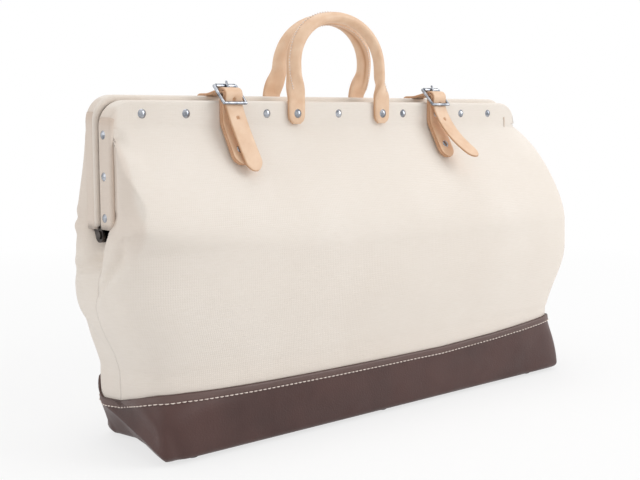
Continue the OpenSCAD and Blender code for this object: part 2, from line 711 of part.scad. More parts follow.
// One punched hole shows below the keeper bar and one above it
low_hole = 14;
spare_holes = 0;
hole_at = (heel_arc(over_to) + keeper_arc(tuck_from)) / 2;
module billet(turn) difference() {
    union() {
        ribbon(billet_path, strap_t, strap_w);
        translate([0, back_y + strap_t / 2 + lap, back_z]) rotate([90, 0, 0])
            cylinder(h = strap_t + 2 * lap, d = strap_w - 2 * lap);
        on_hang(hang_lead) rotate([0, 0, turn]) translate([0, 0, -lap]) {
            cylinder(h = strap_t + 2 * lap, d = strap_w - 2 * lap);
            translate([lap - strap_w / 2, hang_lead - billet_drop - strap_w, 0])
                cube([strap_w - 2 * lap, billet_drop + strap_w - hang_lead, strap_t + 2 * lap]);
        }
    }
    on_hang(hang_lead) rotate([0, 0, turn]) translate([0, hang_lead - billet_drop + tip_d / 2, 0]) tip_cut(0, strap_t);
    translate([0, heel_y, heel_z]) rotate([prong_angle - buckle_lean, 0, 0])
        cylinder(h = 2 * buckle_l, d = prong_d + 2 * soft_gap);
    for (k = [0 : spare_holes]) on_hang(low_hole + k * hole_pitch)
        translate([0, 0, -cut]) cylinder(h = strap_t + 2 * cut, d = hole_d);
    translate([0, hole_at[0], hole_at[1]]) rotate([over_to - 90, 0, 0]) translate([0, 0, -strap_t])
        cylinder(h = 2 * strap_t, d = hole_d);
    translate([0, back_y + strap_t, back_z]) rotate([90, 0, 0])
        cylinder(h = 2 * strap_t, d = rivet_d + hole_play);
}

module left_billet() color(leather_colour) at_strap(-1) billet(0);
module right_billet() color(leather_colour) at_strap(1) billet(billet_turn);

boot();
canvas_body();
base_board();
feet();
foot_washers();
front_canvas();
rear_canvas();
front_rail();
rear_rail();
front_hem();
rear_hem();
front_rivets();
rear_rivets();
front_lugs();
rear_lugs();
hinge_pins();
front_grip();
rear_grip();
front_core();
rear_core();
front_tabs();
rear_tabs();
left_chape();
right_chape();
chape_rivets();
left_buckle();
right_buckle();
left_roller();
right_roller();
left_prong();
right_prong();
left_billet();
right_billet();
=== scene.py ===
"""Looks of a long canvas tool bag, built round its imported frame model.

The bag stands on six studs. A coated boot covers its foot, two canvas halves rise from it to a
hinged mouth frame, and two rolled handles and two buckled straps sit on that frame. Every size
below is in millimetres, in the frame's own axes: +X along the mouth, -Y towards the buckles.
"""

from __future__ import annotations

import logging
import math
from dataclasses import dataclass, field
from enum import Enum
from typing import Any, Sequence

import bmesh
import bpy
import numpy as np
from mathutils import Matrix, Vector, noise

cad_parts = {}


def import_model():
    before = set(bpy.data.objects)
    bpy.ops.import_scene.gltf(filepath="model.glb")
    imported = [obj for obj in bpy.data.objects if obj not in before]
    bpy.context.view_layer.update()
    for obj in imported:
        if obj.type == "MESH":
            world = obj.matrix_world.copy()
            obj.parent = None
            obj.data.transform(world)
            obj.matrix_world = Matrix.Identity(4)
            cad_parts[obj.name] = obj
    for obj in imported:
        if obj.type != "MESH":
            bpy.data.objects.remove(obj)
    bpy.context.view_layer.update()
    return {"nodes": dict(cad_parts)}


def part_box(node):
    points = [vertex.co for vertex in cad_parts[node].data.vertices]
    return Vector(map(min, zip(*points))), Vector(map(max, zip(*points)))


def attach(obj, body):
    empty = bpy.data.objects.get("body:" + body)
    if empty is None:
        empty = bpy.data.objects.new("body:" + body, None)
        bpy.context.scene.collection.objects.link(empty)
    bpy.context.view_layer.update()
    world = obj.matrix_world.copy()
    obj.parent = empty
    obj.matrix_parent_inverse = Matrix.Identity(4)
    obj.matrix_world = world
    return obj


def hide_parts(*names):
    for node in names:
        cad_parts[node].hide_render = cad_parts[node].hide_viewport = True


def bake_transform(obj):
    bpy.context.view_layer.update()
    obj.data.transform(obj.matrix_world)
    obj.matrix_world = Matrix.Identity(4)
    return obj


LOG = logging.getLogger("tool_bag")
MM = 0.001
Array = np.ndarray
Face = tuple[int, ...]
Span = tuple[float, float, float, float]
Profile = tuple[tuple[float, ...], tuple[float, ...]]


# Small tools


def linear(code: str) -> tuple[float, float, float, float]:
    """Turns an sRGB hex colour into linear values.

    Args:
        code: a colour such as "#EAE3DA".
    Returns:
        Linear red, green, blue and an alpha of one.
    """
    values = [int(code[i : i + 2], 16) / 255 for i in (1, 3, 5)]
    r, g, b = (v / 12.92 if v <= 0.04045 else ((v + 0.055) / 1.055) ** 2.4 for v in values)
    return r, g, b, 1.0


def per_mm(size: float) -> float:
    """Noise scale that gives features of about this many millimetres."""
    return 1 / (size * MM)


def wave_per_mm(pitch: float) -> float:
    """Wave texture scale whose bands repeat every pitch millimetres."""
    return 2 * math.pi / (20 * pitch * MM)


def ease(v: Any) -> Any:
    """Smooth step from nought to one."""
    c = np.clip(v, 0, 1)
    return c * c * (3 - 2 * c)


def mix(a: Any, b: Any, v: Any) -> Any:
    """Straight mix of two values."""
    return a + (b - a) * v


def within(v: Array, span: Span) -> Array:
    """One between two places and nought outside them, with a smooth run inside each.

    Args:
        v: the values.
        span: the low place and its run, then the high place and its run.
    Returns:
        A share for each value.
    """
    low, low_run, high, high_run = span
    return ease((v - low) / low_run) * ease((high - v) / high_run)


def bell(v: Any, width: Any) -> Any:
    """A smooth bump of height one that dies away over a width."""
    return np.exp(-((v / width) ** 2))


def unit(v: Array) -> Array:
    """Rows of v brought to length one."""
    return v / np.maximum(np.linalg.norm(v, axis=-1, keepdims=True), 1e-9)


def ripple(points: Array, size: float, seed: float) -> Array:
    """Even, repeatable noise between -1 and 1.

    Args:
        points: places in millimetres, one row each.
        size: length of a feature in millimetres.
        seed: an offset that picks one pattern.
    Returns:
        One value for each place.
    """
    shift = Vector((seed, 1.7 * seed, -2.3 * seed))
    return np.array([noise.noise(Vector(p) / size + shift) for p in points])


def distance(line: Array) -> Array:
    """How far along a line each of its points lies."""
    return np.concatenate([[0], np.cumsum(np.linalg.norm(np.diff(line, axis=0), axis=1))])


def resample(line: Array, count: int) -> Array:
    """Points at even steps along an open line.

    Args:
        line: rows of places.
        count: how many points to return.
    Returns:
        The new rows.
    """
    run = distance(line)
    at = np.linspace(0, run[-1], count)
    return np.stack([np.interp(at, run, line[:, k]) for k in range(line.shape[1])], axis=1)


def grid_faces(rows: int, cols: int, wrap: bool = False, start: int = 0) -> list[Face]:
    """Faces of a grid of points held row by row.

    Args:
        rows: how many rows.
        cols: how many points in each row.
        wrap: whether each row is closed.
        start: number of the grid's first point.
    Returns:
        The corner numbers of each face.
    """
    last = cols if wrap else cols - 1
    return [
        (
            start + r * cols + c,
            start + r * cols + (c + 1) % cols,
            start + (r + 1) * cols + (c + 1) % cols,
            start + (r + 1) * cols + c,
        )
        for r in range(rows - 1)
        for c in range(last)
    ]


def tube_faces(rows: int, cols: int, start: int = 0) -> list[Face]:
    """Faces of a tube of rings, closed by one face across each end.

    Args:
        rows: how many rings.
        cols: how many points in each ring.
        start: number of the tube's first point.
    Returns:
        The corner numbers of each face.
    """
    first = tuple(range(start, start + cols))
    last = tuple(reversed(range(start + (rows - 1) * cols, start + rows * cols)))
    return [*grid_faces(rows, cols, wrap=True, start=start), first, last]


def cut_places(across: Array, up: Array) -> Array:
    """Places on the cut cloth, row by row, from the distances across it and up it."""
    return np.stack(np.meshgrid(across, up, indexing="xy"), axis=-1).reshape(-1, 2)


def piece(
    name: str,
    points: Array,
    faces: Sequence[Face],
    material: bpy.types.Material,
    uv: Array | None = None,
    tone: Array | None = None,
) -> bpy.types.Object:
    """Makes one smooth mesh object.

    Args:
        name: the object's name.
        points: places in millimetres.
        faces: corner numbers of each face.
        material: its finish.
        uv: a place on the cut cloth for each point, in millimetres.
        tone: how worn or soiled each point is, from nought to one.
    Returns:
        The new object, linked to the scene.
    """
    mesh = bpy.data.meshes.new(name)
    mesh.from_pydata([tuple(p) for p in np.asarray(points) * MM], [], list(faces))
    mesh.validate(verbose=False)
    mesh.materials.append(material)
    mesh.polygons.foreach_set("use_smooth", [True] * len(mesh.polygons))
    if uv is not None:
        corners = np.empty(len(mesh.loops), dtype=np.int32)
        mesh.loops.foreach_get("vertex_index", corners)
        layer = mesh.uv_layers.new(name="cut")
        layer.data.foreach_set("uv", (uv[corners] * MM).astype(np.float32).ravel())
    layer = mesh.attributes.new("tone", "FLOAT", "POINT")
    values = np.zeros(len(mesh.vertices)) if tone is None else tone
    layer.data.foreach_set("value", np.asarray(values, dtype=np.float32))
    mesh.update()
    obj = bpy.data.objects.new(name, mesh)
    bpy.context.scene.collection.objects.link(obj)
    return obj


def outward(obj: bpy.types.Object) -> bpy.types.Object:
    """Turns the faces of a closed piece to look outward.

    Args:
        obj: the piece.
    Returns:
        The same piece.
    """
    work = bmesh.new()
    work.from_mesh(obj.data)
    bmesh.ops.recalc_face_normals(work, faces=work.faces)
    work.to_mesh(obj.data)
    work.free()
    return obj


# Finishes


def add(
    tree: bpy.types.NodeTree,
    kind: str,
    inputs: dict[str | int, Any] | None = None,
    **settings: Any,
) -> bpy.types.Node:
    """Adds a node with its settings and links.

    Args:
        tree: the node tree.
        kind: the node's type name.
        inputs: a value or an output to link, for each input by name or number.
        settings: the node's own properties.
    Returns:
        The new node.
    """
    node = tree.nodes.new(kind)
    for key, value in settings.items():
        setattr(node, key, value)
    for key, value in (inputs or {}).items():
        if isinstance(value, bpy.types.NodeSocket):
            tree.links.new(value, node.inputs[key])
        else:
            node.inputs[key].default_value = value
    return node


@dataclass(frozen=True)
class Finish:
    """What every finish shares: a name, two shades, a shine and a relief in millimetres."""

    name: str
    low: str
    high: str
    rough: float = 0.5
    patch: float = 10.0
    bump: float = 0.3
    relief: float = 0.3

    def start(self) -> tuple[bpy.types.Material, bpy.types.NodeTree, bpy.types.Node]:
        """Makes an empty node material with its shader.

        Returns:
            The material, its tree and its shader node.
        """
        material = bpy.data.materials.new(self.name)
        material.use_nodes = True
        tree = material.node_tree
        tree.nodes.clear()
        shader = add(tree, "ShaderNodeBsdfPrincipled", {"Roughness": self.rough})
        add(tree, "ShaderNodeOutputMaterial", {"Surface": shader.outputs["BSDF"]})
        return material, tree, shader

    def blotch(self, tree: bpy.types.NodeTree, where: Any, detail: float = 3) -> Any:
        """Colour that drifts between the two shades, patch by patch.

        Args:
            tree: the node tree.
            where: the coordinates to use.
            detail: how many finer layers the patches have.
        Returns:
            The colour output.
        """
        cloud = add(
            tree, "ShaderNodeTexNoise", {"Vector": where, "Scale": per_mm(self.patch), "Detail": detail}
        )
        ramp = add(tree, "ShaderNodeValToRGB", {"Fac": cloud.outputs["Fac"]})
        ramp.color_ramp.elements[0].position = 0.3
        ramp.color_ramp.elements[0].color = linear(self.low)
        ramp.color_ramp.elements[1].position = 0.7
        ramp.color_ramp.elements[1].color = linear(self.high)
        return ramp.outputs["Color"]

    def build(self) -> bpy.types.Material:
        """Makes the material."""
        raise NotImplementedError


@dataclass(frozen=True)
class CottonDuck(Finish):
    """Undyed cotton duck, plain woven. The eye sees an even warm white with faint slubs."""

    # Tint that a piece's tone mixes in as painted shade: on the left end, the leg sleeves, above the boot
    # and faintly over the hem
    shade_tint: str = "#C9B3A2"
    slub_shade: str = "#DCD0C0"
    # The real threads lie 0.7 mm apart, which is finer than the render's pixels, so the weave
    # is drawn at a coarser pitch.
    thread: float = 2.2
    # A slub is a thick place in the yarn, drawn out along it
    slub: float = 1.6
    drawn_out: float = 0.12
    patch: float = 110.0
    bump: float = 0.22
    relief: float = 0.35

    def build(self) -> bpy.types.Material:
        """Makes the material.

        Returns:
            A woven cotton with slubs, with painted shade where a piece's tone says so.
        """
        material, tree, shader = self.start()
        uv = add(tree, "ShaderNodeTexCoord").outputs["UV"]
        place = add(tree, "ShaderNodeTexCoord").outputs["Object"]
        base = self.blotch(tree, place)
        long_way = add(tree, "ShaderNodeMapping", {"Vector": uv, "Scale": (self.drawn_out, 1.0, 1.0)})
        slubs = add(
            tree,
            "ShaderNodeTexNoise",
            {"Vector": long_way.outputs["Vector"], "Scale": per_mm(self.slub), "Detail": 2.0},
        )
        faint = add(
            tree,
            "ShaderNodeMapRange",
            {"Value": slubs.outputs["Fac"], 1: 0.35, 2: 0.75, 3: 0.0, 4: 0.16},
        )
        streaked = add(
            tree,
            "ShaderNodeMix",
            {"Factor": faint.outputs[0], 6: base, 7: linear(self.slub_shade)},
            data_type="RGBA",
        )
        # The tone attribute paints shade: it mixes the shade tint into the canvas colour
        tone = add(tree, "ShaderNodeAttribute", attribute_name="tone")
        tone_colour = add(
            tree,
            "ShaderNodeMix",
            {"Factor": tone.outputs["Fac"], 6: streaked.outputs[2], 7: linear(self.shade_tint)},
            data_type="RGBA",
        )
        tree.links.new(tone_colour.outputs[2], shader.inputs["Base Color"])
        warp = add(
            tree,
            "ShaderNodeTexWave",
            {"Vector": uv, "Scale": wave_per_mm(self.thread), "Distortion": 0.6, "Detail": 1.0},
            bands_direction="X",
        )
        weft = add(
            tree,
            "ShaderNodeTexWave",
            {"Vector": uv, "Scale": wave_per_mm(self.thread), "Distortion": 0.6, "Detail": 1.0},
            bands_direction="Y",
        )
        cloth = add(
            tree,
            "ShaderNodeMath",
            {0: warp.outputs["Fac"], 1: weft.outputs["Fac"]},
            operation="MULTIPLY",
        )
        uneven = add(
            tree,
            "ShaderNodeMath",
            {0: cloth.outputs[0], 1: slubs.outputs["Fac"]},
            operation="ADD",
        )
        bump = add(
            tree,
            "ShaderNodeBump",
            {"Height": uneven.outputs[0], "Strength": self.bump, "Distance": self.relief * MM},
        )
        tree.links.new(bump.outputs["Normal"], shader.inputs["Normal"])
        shader.inputs["Sheen Weight"].default_value = 0.12
        shader.inputs["Sheen Roughness"].default_value = 0.5
        shader.inputs["Specular IOR Level"].default_value = 0.2
        return material


@dataclass(frozen=True)
class CoatedCloth(Finish):
    """Vinyl coated cloth, calendered. A dark leathery grain with a soft, uneven shine."""

    tone_colour: str = "#74605A"
    grain: float = 1.5
    # Rubbed and untouched places differ in shine over this length
    rubbed: float = 26.0
    patch: float = 60.0
    relief: float = 0.4

    def build(self) -> bpy.types.Material:
        """Makes the material.

        Returns:
            A grained coating that is paler where it is folded or rubbed.
        """
        material, tree, shader = self.start()
        place = add(tree, "ShaderNodeTexCoord").outputs["Object"]
        base = self.blotch(tree, place)
        tone = add(tree, "ShaderNodeAttribute", attribute_name="tone")
        paler = add(
            tree,
            "ShaderNodeMix",
            {"Factor": tone.outputs["Fac"], 6: base, 7: linear(self.tone_colour)},
            data_type="RGBA",
        )
        tree.links.new(paler.outputs[2], shader.inputs["Base Color"])
        cells = add(
            tree,
            "ShaderNodeTexVoronoi",
            {"Vector": place, "Scale": per_mm(self.grain), "Randomness": 1.0},
            feature="SMOOTH_F1",
        )
        patch = add(
            tree, "ShaderNodeTexNoise", {"Vector": place, "Scale": per_mm(self.rubbed), "Detail": 4.0}
        )
        shine = add(
            tree,
            "ShaderNodeMapRange",
            {"Value": patch.outputs["Fac"], 1: 0.3, 2: 0.7, 3: self.rough - 0.08, 4: self.rough + 0.1},
        )
        tree.links.new(shine.outputs[0], shader.inputs["Roughness"])
        bump = add(
            tree,
            "ShaderNodeBump",
            {"Height": cells.outputs["Distance"], "Strength": self.bump, "Distance": self.relief * MM},
        )
        tree.links.new(bump.outputs["Normal"], shader.inputs["Normal"])
        return material


@dataclass(frozen=True)
class TannedLeather(Finish):
    """Vegetable tanned harness leather. Pale, smooth, with fine pores and darker cut edges."""

    # Colour of the darker cut edges; it is also painted as shade into the handle seam's groove
    edge: str = "#BC8A62"
    pores: float = 1.1
    creases: float = 4.5
    patch: float = 14.0
    bump: float = 0.25

    def build(self) -> bpy.types.Material:
        """Makes the material.

        Returns:
            A fine grained leather that darkens where a piece's tone says so.
        """
        material, tree, shader = self.start()
        place = add(tree, "ShaderNodeTexCoord").outputs["Object"]
        base = self.blotch(tree, place, 5)
        tone = add(tree, "ShaderNodeAttribute", attribute_name="tone")
        edged = add(
            tree,
            "ShaderNodeMix",
            {"Factor": tone.outputs["Fac"], 6: base, 7: linear(self.edge)},
            data_type="RGBA",
        )
        tree.links.new(edged.outputs[2], shader.inputs["Base Color"])
        pits = add(
            tree, "ShaderNodeTexVoronoi", {"Vector": place, "Scale": per_mm(self.pores)}
        )
        creases = add(
            tree,
            "ShaderNodeTexNoise",
            {"Vector": place, "Scale": per_mm(self.creases), "Detail": 5.0, "Distortion": 0.6},
        )
        grain = add(
            tree,
            "ShaderNodeMath",
            {0: pits.outputs["Distance"], 1: creases.outputs["Fac"]},
            operation="ADD",
        )
        bump = add(
            tree,
            "ShaderNodeBump",
            {"Height": grain.outputs[0], "Strength": self.bump, "Distance": self.relief * MM},
        )
        tree.links.new(bump.outputs["Normal"], shader.inputs["Normal"])
        shine = add(
            tree,
            "ShaderNodeMapRange",
            {"Value": creases.outputs["Fac"], 1: 0.3, 2: 0.7, 3: self.rough - 0.06, 4: self.rough + 0.08},
        )
        tree.links.new(shine.outputs[0], shader.inputs["Roughness"])
        return material


@dataclass(frozen=True)
class WorkedMetal(Finish):
    """Plated or bare metal. Fine turned or drawn marks break its reflections a little."""

    marks: float = 0.9
    patch: float = 5.0
    bump: float = 0.12
    relief: float = 0.1

    def build(self) -> bpy.types.Material:
        """Makes the material.

        Returns:
            A metal with faint marks and a slightly uneven shine.
        """
        material, tree, shader = self.start()
        place = add(tree, "ShaderNodeTexCoord").outputs["Object"]
        # On the nickel, the blotches of the dark low shade are painted reflections
        tree.links.new(self.blotch(tree, place), shader.inputs["Base Color"])
        shader.inputs["Metallic"].default_value = 1.0
        streaks = add(
            tree,
            "ShaderNodeTexNoise",
            {"Vector": place, "Scale": per_mm(self.marks), "Detail": 3.0},
        )
        shine = add(
            tree,
            "ShaderNodeMapRange",
            {"Value": streaks.outputs["Fac"], 1: 0.3, 2: 0.7, 3: self.rough * 0.8, 4: self.rough * 1.3},
        )
        tree.links.new(shine.outputs[0], shader.inputs["Roughness"])
        bump = add(
            tree,
            "ShaderNodeBump",
            {"Height": streaks.outputs["Fac"], "Strength": self.bump, "Distance": self.relief * MM},
        )
        tree.links.new(bump.outputs["Normal"], shader.inputs["Normal"])
        return material


@dataclass(frozen=True)
class Fibrous(Finish):
    """Spun or pressed fibre: cotton thread, twisted cord, hardboard and moulded rubber."""

    strand: float = 1.0
    stretch: tuple[float, float, float] = (1.0, 1.0, 1.0)
    bump: float = 0.4

    def build(self) -> bpy.types.Material:
        """Makes the material.

        Returns:
            A matt finish with strands or specks.
        """
        material, tree, shader = self.start()
        place = add(tree, "ShaderNodeTexCoord").outputs["Object"]
        along = add(tree, "ShaderNodeMapping", {"Vector": place, "Scale": self.stretch})
        vector = along.outputs["Vector"]
        tree.links.new(self.blotch(tree, vector), shader.inputs["Base Color"])
        fine = add(
            tree,
            "ShaderNodeTexNoise",
            {"Vector": vector, "Scale": per_mm(self.strand), "Detail": 3.0},
        )
        bump = add(
            tree,
            "ShaderNodeBump",
            {"Height": fine.outputs["Fac"], "Strength": self.bump, "Distance": self.relief * MM},
        )
        tree.links.new(bump.outputs["Normal"], shader.inputs["Normal"])
        return material


class Stuff(Enum):
    """The finishes of the bag, each under its slot name."""

    canvas = CottonDuck("cotton_duck_woven", "#E7DED4", "#ECE4DB", 0.85)
    boot = CoatedCloth("vinyl_cloth_calendered", "#402622", "#4E312C", 0.46)
    leather = TannedLeather("harness_leather_tanned", "#DDB796", "#EACBAE", 0.48)
    chape_leather = TannedLeather("chape_leather_tanned", "#E6BE9A", "#F0CFB0", 0.5, edge="#B98660")
    # Its dark low shade, in 5 mm patches, paints the dark reflections on the rivets and buckles
    nickel = WorkedMetal("nickel_plated_steel", "#70747C", "#BFC2C8", 0.2)
    frame_steel = WorkedMetal("mild_steel_rolled", "#6E6A64", "#8C8882", 0.42)
    dark_steel = WorkedMetal("hinge_steel_blackened", "#37322F", "#5B5552", 0.34)
    zinc = WorkedMetal("zinc_plated_steel", "#9A9D9C", "#C4C7C6", 0.3)
    black = Fibrous("rubber_moulded", "#151312", "#26221F", 0.55, patch=2.4, strand=0.8, bump=0.2)
    board = Fibrous(
        "hardboard_pressed", "#74583C", "#8A6B4C", 0.75, patch=4.2, strand=1.4, stretch=(0.2, 1.0, 1.0)
    )
    rope = Fibrous("cord_twisted", "#9A835D", "#B9A079", 0.8, patch=3.6, strand=1.2)
    thread = Fibrous("cotton_thread_waxed", "#DCCBC0", "#F2E6DE", 0.7, patch=2.1, strand=0.7)

    def material(self) -> bpy.types.Material:
        """The built material, made once."""
        found = bpy.data.materials.get(self.value.name)
        return found if found else self.value.build()


# Form of the body


@dataclass(frozen=True)
class FrameHalf:
    """One half of the mouth frame: its outline in the frame's plane and its place."""

    side: int
    centre: float
    length: float
    depth: float
    top: float
    gap: float = 0.5
    leg_bottom: float = 214.0
    face: float = 24.0
    corner: float = 24.0
    reach_run: float = 90.0

    @classmethod
    def from_node(cls, node: str, side: int) -> "FrameHalf":
        """Reads the half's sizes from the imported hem.

        Args:
            node: the hem's name.
            side: -1 for the buckle side, 1 for the far side.
        Returns:
            The half.
        """
        low, high = (np.array(v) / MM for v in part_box(node))
        outer = high[1] if side > 0 else -low[1]
        return cls(side, (low[0] + high[0]) / 2, high[0] - low[0], outer - 0.5, high[2])

    @property
    def right(self) -> float:
        """Where the half's right end lies along the bag."""
        return self.centre + self.length / 2

    @property
    def face_y(self) -> float:
        """Distance of the covered face from the middle plane."""
        return self.gap + self.depth

    def outline(self, inset: float = 0.0, steps: int = 14, reach: float = 0.0) -> tuple[Array, Array]:
        """The U outline from the left leg's foot to the right leg's foot.

        Args:
            inset: how far inside the outer edge.
            steps: points in each corner.
            reach: how far loose cloth stands off the right end.
        Returns:
            Places (x, z) and outward directions, one row each.
        """
        a = self.length / 2 - inset
        top, r = self.top - inset, self.corner - inset
        places: list[tuple[float, float]] = []
        ways: list[tuple[float, float]] = []
        for z in np.linspace(self.leg_bottom, top - r, 16)[:-1]:
            places.append((-a, z))
            ways.append((-1, 0))
        for t in np.linspace(math.pi, math.pi / 2, steps):
            places.append((-a + r + r * math.cos(t), top - r + r * math.sin(t)))
            ways.append((math.cos(t), math.sin(t)))
        for x in np.linspace(-a + r, a - r, 60)[1:-1]:
            places.append((x, top))
            ways.append((0, 1))
        for t in np.linspace(math.pi / 2, 0, steps):
            places.append((a - r + r * math.cos(t), top - r + r * math.sin(t)))
            ways.append((math.cos(t), math.sin(t)))
        for z in np.linspace(top - r, self.leg_bottom, 16)[1:]:
            places.append((a, z))
            ways.append((1, 0))
        line = np.array(places)
        line[:, 0] += reach * ease((line[:, 0] - a + self.reach_run) / self.reach_run) + self.centre
        return line, np.array(ways)


@dataclass(frozen=True)
class BodyForm:
    """The soft body's form, level by level, as the source draws it."""

    base_len: float = 570.0
    base_w: float = 150.0
    bulge_len: float = 625.0
    bulge_w: float = 168.0
    floor_z: float = 4.0
    boot_top: float = 68.0
    bulge_z: float = 154.0
    rim_z: float = 188.0
    # The canvas lies this far inside the boot
    skin: float = 2.1
    # Powers of the rounded box that a level is: a higher one has squarer corners
    box_power: float = 5.5
    soft_power: float = 4.0
    right_power: float = 10.0
    # How full the body is at the boot's edge and at the rim, where one is the bulge
    boot_share: float = 0.05
    rim_share: float = 0.97
    # Points of a level before they are shared out evenly
    fine: int = 1441
    # Above the rim the canvas goes over to the frame, off which it stands loose at the right
    clear: float = 0.3
    hem_gap: float = 0.4
    loose_end: float = 16.0
    left_knee: float = 0.35
    belly_power: float = 4.5
    draw_power: float = 1.4
    frame_power: float = 5.0
    loose_power: float = 8.0
    # Both halves part from this height at the left, and from this share of the way at the right
    part_z: float = 201.0
    right_parts: float = 0.96
    # The pleat beside the buckle side's left leg
    fold_power: float = 15.0
    fold_knee: float = 2.4
    pleat_y: float = 36.0
    pleat_over_leg: float = 34.0
    pleat_run: float = 60.0
    pleat_slope: float = 2.0

    def swell(self, z: float) -> float:
        """How full the body is.

        Args:
            z: the height.
        Returns:
            A share of the bulge, from nought to one.
        """
        if z <= self.boot_top:
            return self.boot_share * float(ease((z - self.floor_z) / (self.boot_top - self.floor_z)))
        if z <= self.bulge_z:
            return mix(
                self.boot_share, 1, float(ease((z - self.boot_top) / (self.bulge_z - self.boot_top)))
            )
        return mix(1, self.rim_share, float(ease((z - self.bulge_z) / (self.rim_z - self.bulge_z))))

    def half_len(self, z: float) -> float:
        """Half the body's length at a height."""
        return mix(self.base_len, self.bulge_len, self.swell(z)) / 2

    def half_w(self, z: float) -> float:
        """Half the body's width at a height."""
        return mix(self.base_w, self.bulge_w, self.swell(z)) / 2

    def power(self, z: float) -> float:
        """How square the corners are at a height."""
        v = ease((z - self.floor_z) / (self.rim_z - self.floor_z))
        return mix(self.box_power, self.soft_power, float(v))

    @staticmethod
    def arc(left: float, right: float, count: int) -> Array:
        """Half of a rounded box of size one, from its left end over to its right end.

        Args:
            left: how square the left corner is.
            right: how square the right corner is.
            count: how many points.
        Returns:
            Rows of (x, y) with y from nought to one.
        """
        t = np.linspace(math.pi, 0, count)
        c, s = np.cos(t), np.sin(t)
        power = np.where(c < 0, left, right)
        reach = (np.abs(c) ** power + np.abs(s) ** power) ** (-1 / power)
        line = np.stack([c * reach, s * reach], axis=1)
        line[0, 1] = line[-1, 1] = 0
        return line

    def half_ring(self, z: float, side: int, inset: float, count: int) -> Array:
        """Half of the body's ring at a height up to the rim.

        Args:
            z: the height.
            side: -1 for the buckle side, 1 for the far side.
            inset: how far inside the outer face.
            count: how many points.
        Returns:
            Rows of (x, y, z).
        """
        line = self.arc(self.power(z), self.right_power, self.fine)
        line = resample(line * [self.half_len(z) - inset, self.half_w(z) - inset], count)
        return np.column_stack([line[:, 0], side * line[:, 1], np.full(count, z)])

    def curtain(self, v: float, half: FrameHalf, inset: float, count: int) -> Array:
        """One level of the canvas between the rim and the frame.

        Args:
            v: share of the way up.
            half: the frame half that the canvas hangs from.
            inset: how far inside the outer face.
            count: how many points.
        Returns:
            Rows of (x, y, z).
        """
        z = mix(self.rim_z, half.top - half.face, v)
        full_l, full_w = self.half_len(self.rim_z) - self.skin, self.half_w(self.rim_z) - self.skin
        left = -mix(full_l, half.length / 2 - half.centre - self.clear, float(ease(v / self.left_knee)))
        right = mix(full_l, half.right + self.loose_end, v**self.belly_power)
        part_left = float(ease((z - self.part_z) / (half.leg_bottom - self.part_z)))
        part_right = float(ease((v - self.right_parts) / (1 - self.right_parts)))
        middle, a = (left + right) / 2, (right - left) / 2 - inset
        drawn = mix(v**self.draw_power, float(ease(v)), 0.5)
        b = mix(full_w, half.face_y + self.hem_gap, drawn) - inset
        # The buckle side turns sharply at its left edge, where it is folded beside the leg
        left_power = mix(self.soft_power, self.frame_power, v)
        if half.side < 0:
            left_power = mix(self.soft_power, self.fold_power, float(ease(v * self.fold_knee)))
        line = self.arc(left_power, mix(self.right_power, self.loose_power, v), self.fine)
        share = (line[:, 0] + 1) / 2
        edge = mix(part_left, part_right, share) * half.face_y
        y = edge + np.maximum(0, b - edge) * line[:, 1]
        x = middle + a * line[:, 0]
        if half.side < 0:
            # A pleat hangs straight down beside the left leg, and the panel runs out from its edge
            opened = float(ease((half.leg_bottom + self.pleat_over_leg - z) / self.pleat_run))
            pleat = mix(self.pleat_y, b, opened) - 0.4 * inset
            y = np.minimum(y, pleat + (x - left) * self.pleat_slope)
        line = resample(np.column_stack([x, y]), count)
        return np.column_stack([line[:, 0], half.side * line[:, 1], np.full(count, z)])


@dataclass(frozen=True)
class Crease:
    """A sharp fold in the canvas along a line of (y, z), with a soft swelling on both sides."""

    line: tuple[tuple[float, float], ...]
    depth: float
    width: float
    swell: float = 0.45

    def height(self, a: Array, b: Array) -> Array:
        """How far the fold moves the cloth, outward positive.

        Args:
            a: where each place lies across the bag.
            b: how high each place lies.
        Returns:
            Millimetres for each place.
        """
        best = np.full(a.shape, 1e9)
        along = np.zeros(a.shape)
        total = len(self.line) - 1
        for k, ((a0, b0), (a1, b1)) in enumerate(zip(self.line, self.line[1:])):
            da, db = a1 - a0, b1 - b0
            t = np.clip(((a - a0) * da + (b - b0) * db) / (da * da + db * db), 0, 1)
            d = np.hypot(a - a0 - t * da, b - b0 - t * db)
            near = d < best
            along = np.where(near, (k + t) / total, along)
            best = np.minimum(best, d)
        fade = np.sin(np.clip(along, 0.0, 1.0) * math.pi * 0.96 + 0.06) ** 0.5
        bank = bell(best - 2.3 * self.width, 1.4 * self.width)
        return self.depth * fade * (self.swell * bank - bell(best, self.width))


@dataclass(frozen=True)
class Slack:
    """Unevenness of one size, stronger at the bag's ends than at its middle."""

    middle: float
    ends: float
    size: float
    seed: float
    squash: float = 1.0


@dataclass(frozen=True)
class EdgeFold:
    """A lip or a hollow that runs up the cloth beside its left edge."""

    height: float
    y: float
    width: float
    x: float
    run: float
    z: Span

    def relief(self, p: Array) -> Array:
        """How far the fold moves the cloth at each place, outward positive."""
        at_edge = ease((-p[:, 0] - self.x) / self.run) * within(p[:, 2], self.z)
        return self.height * at_edge * bell(p[:, 1] - self.y, self.width)


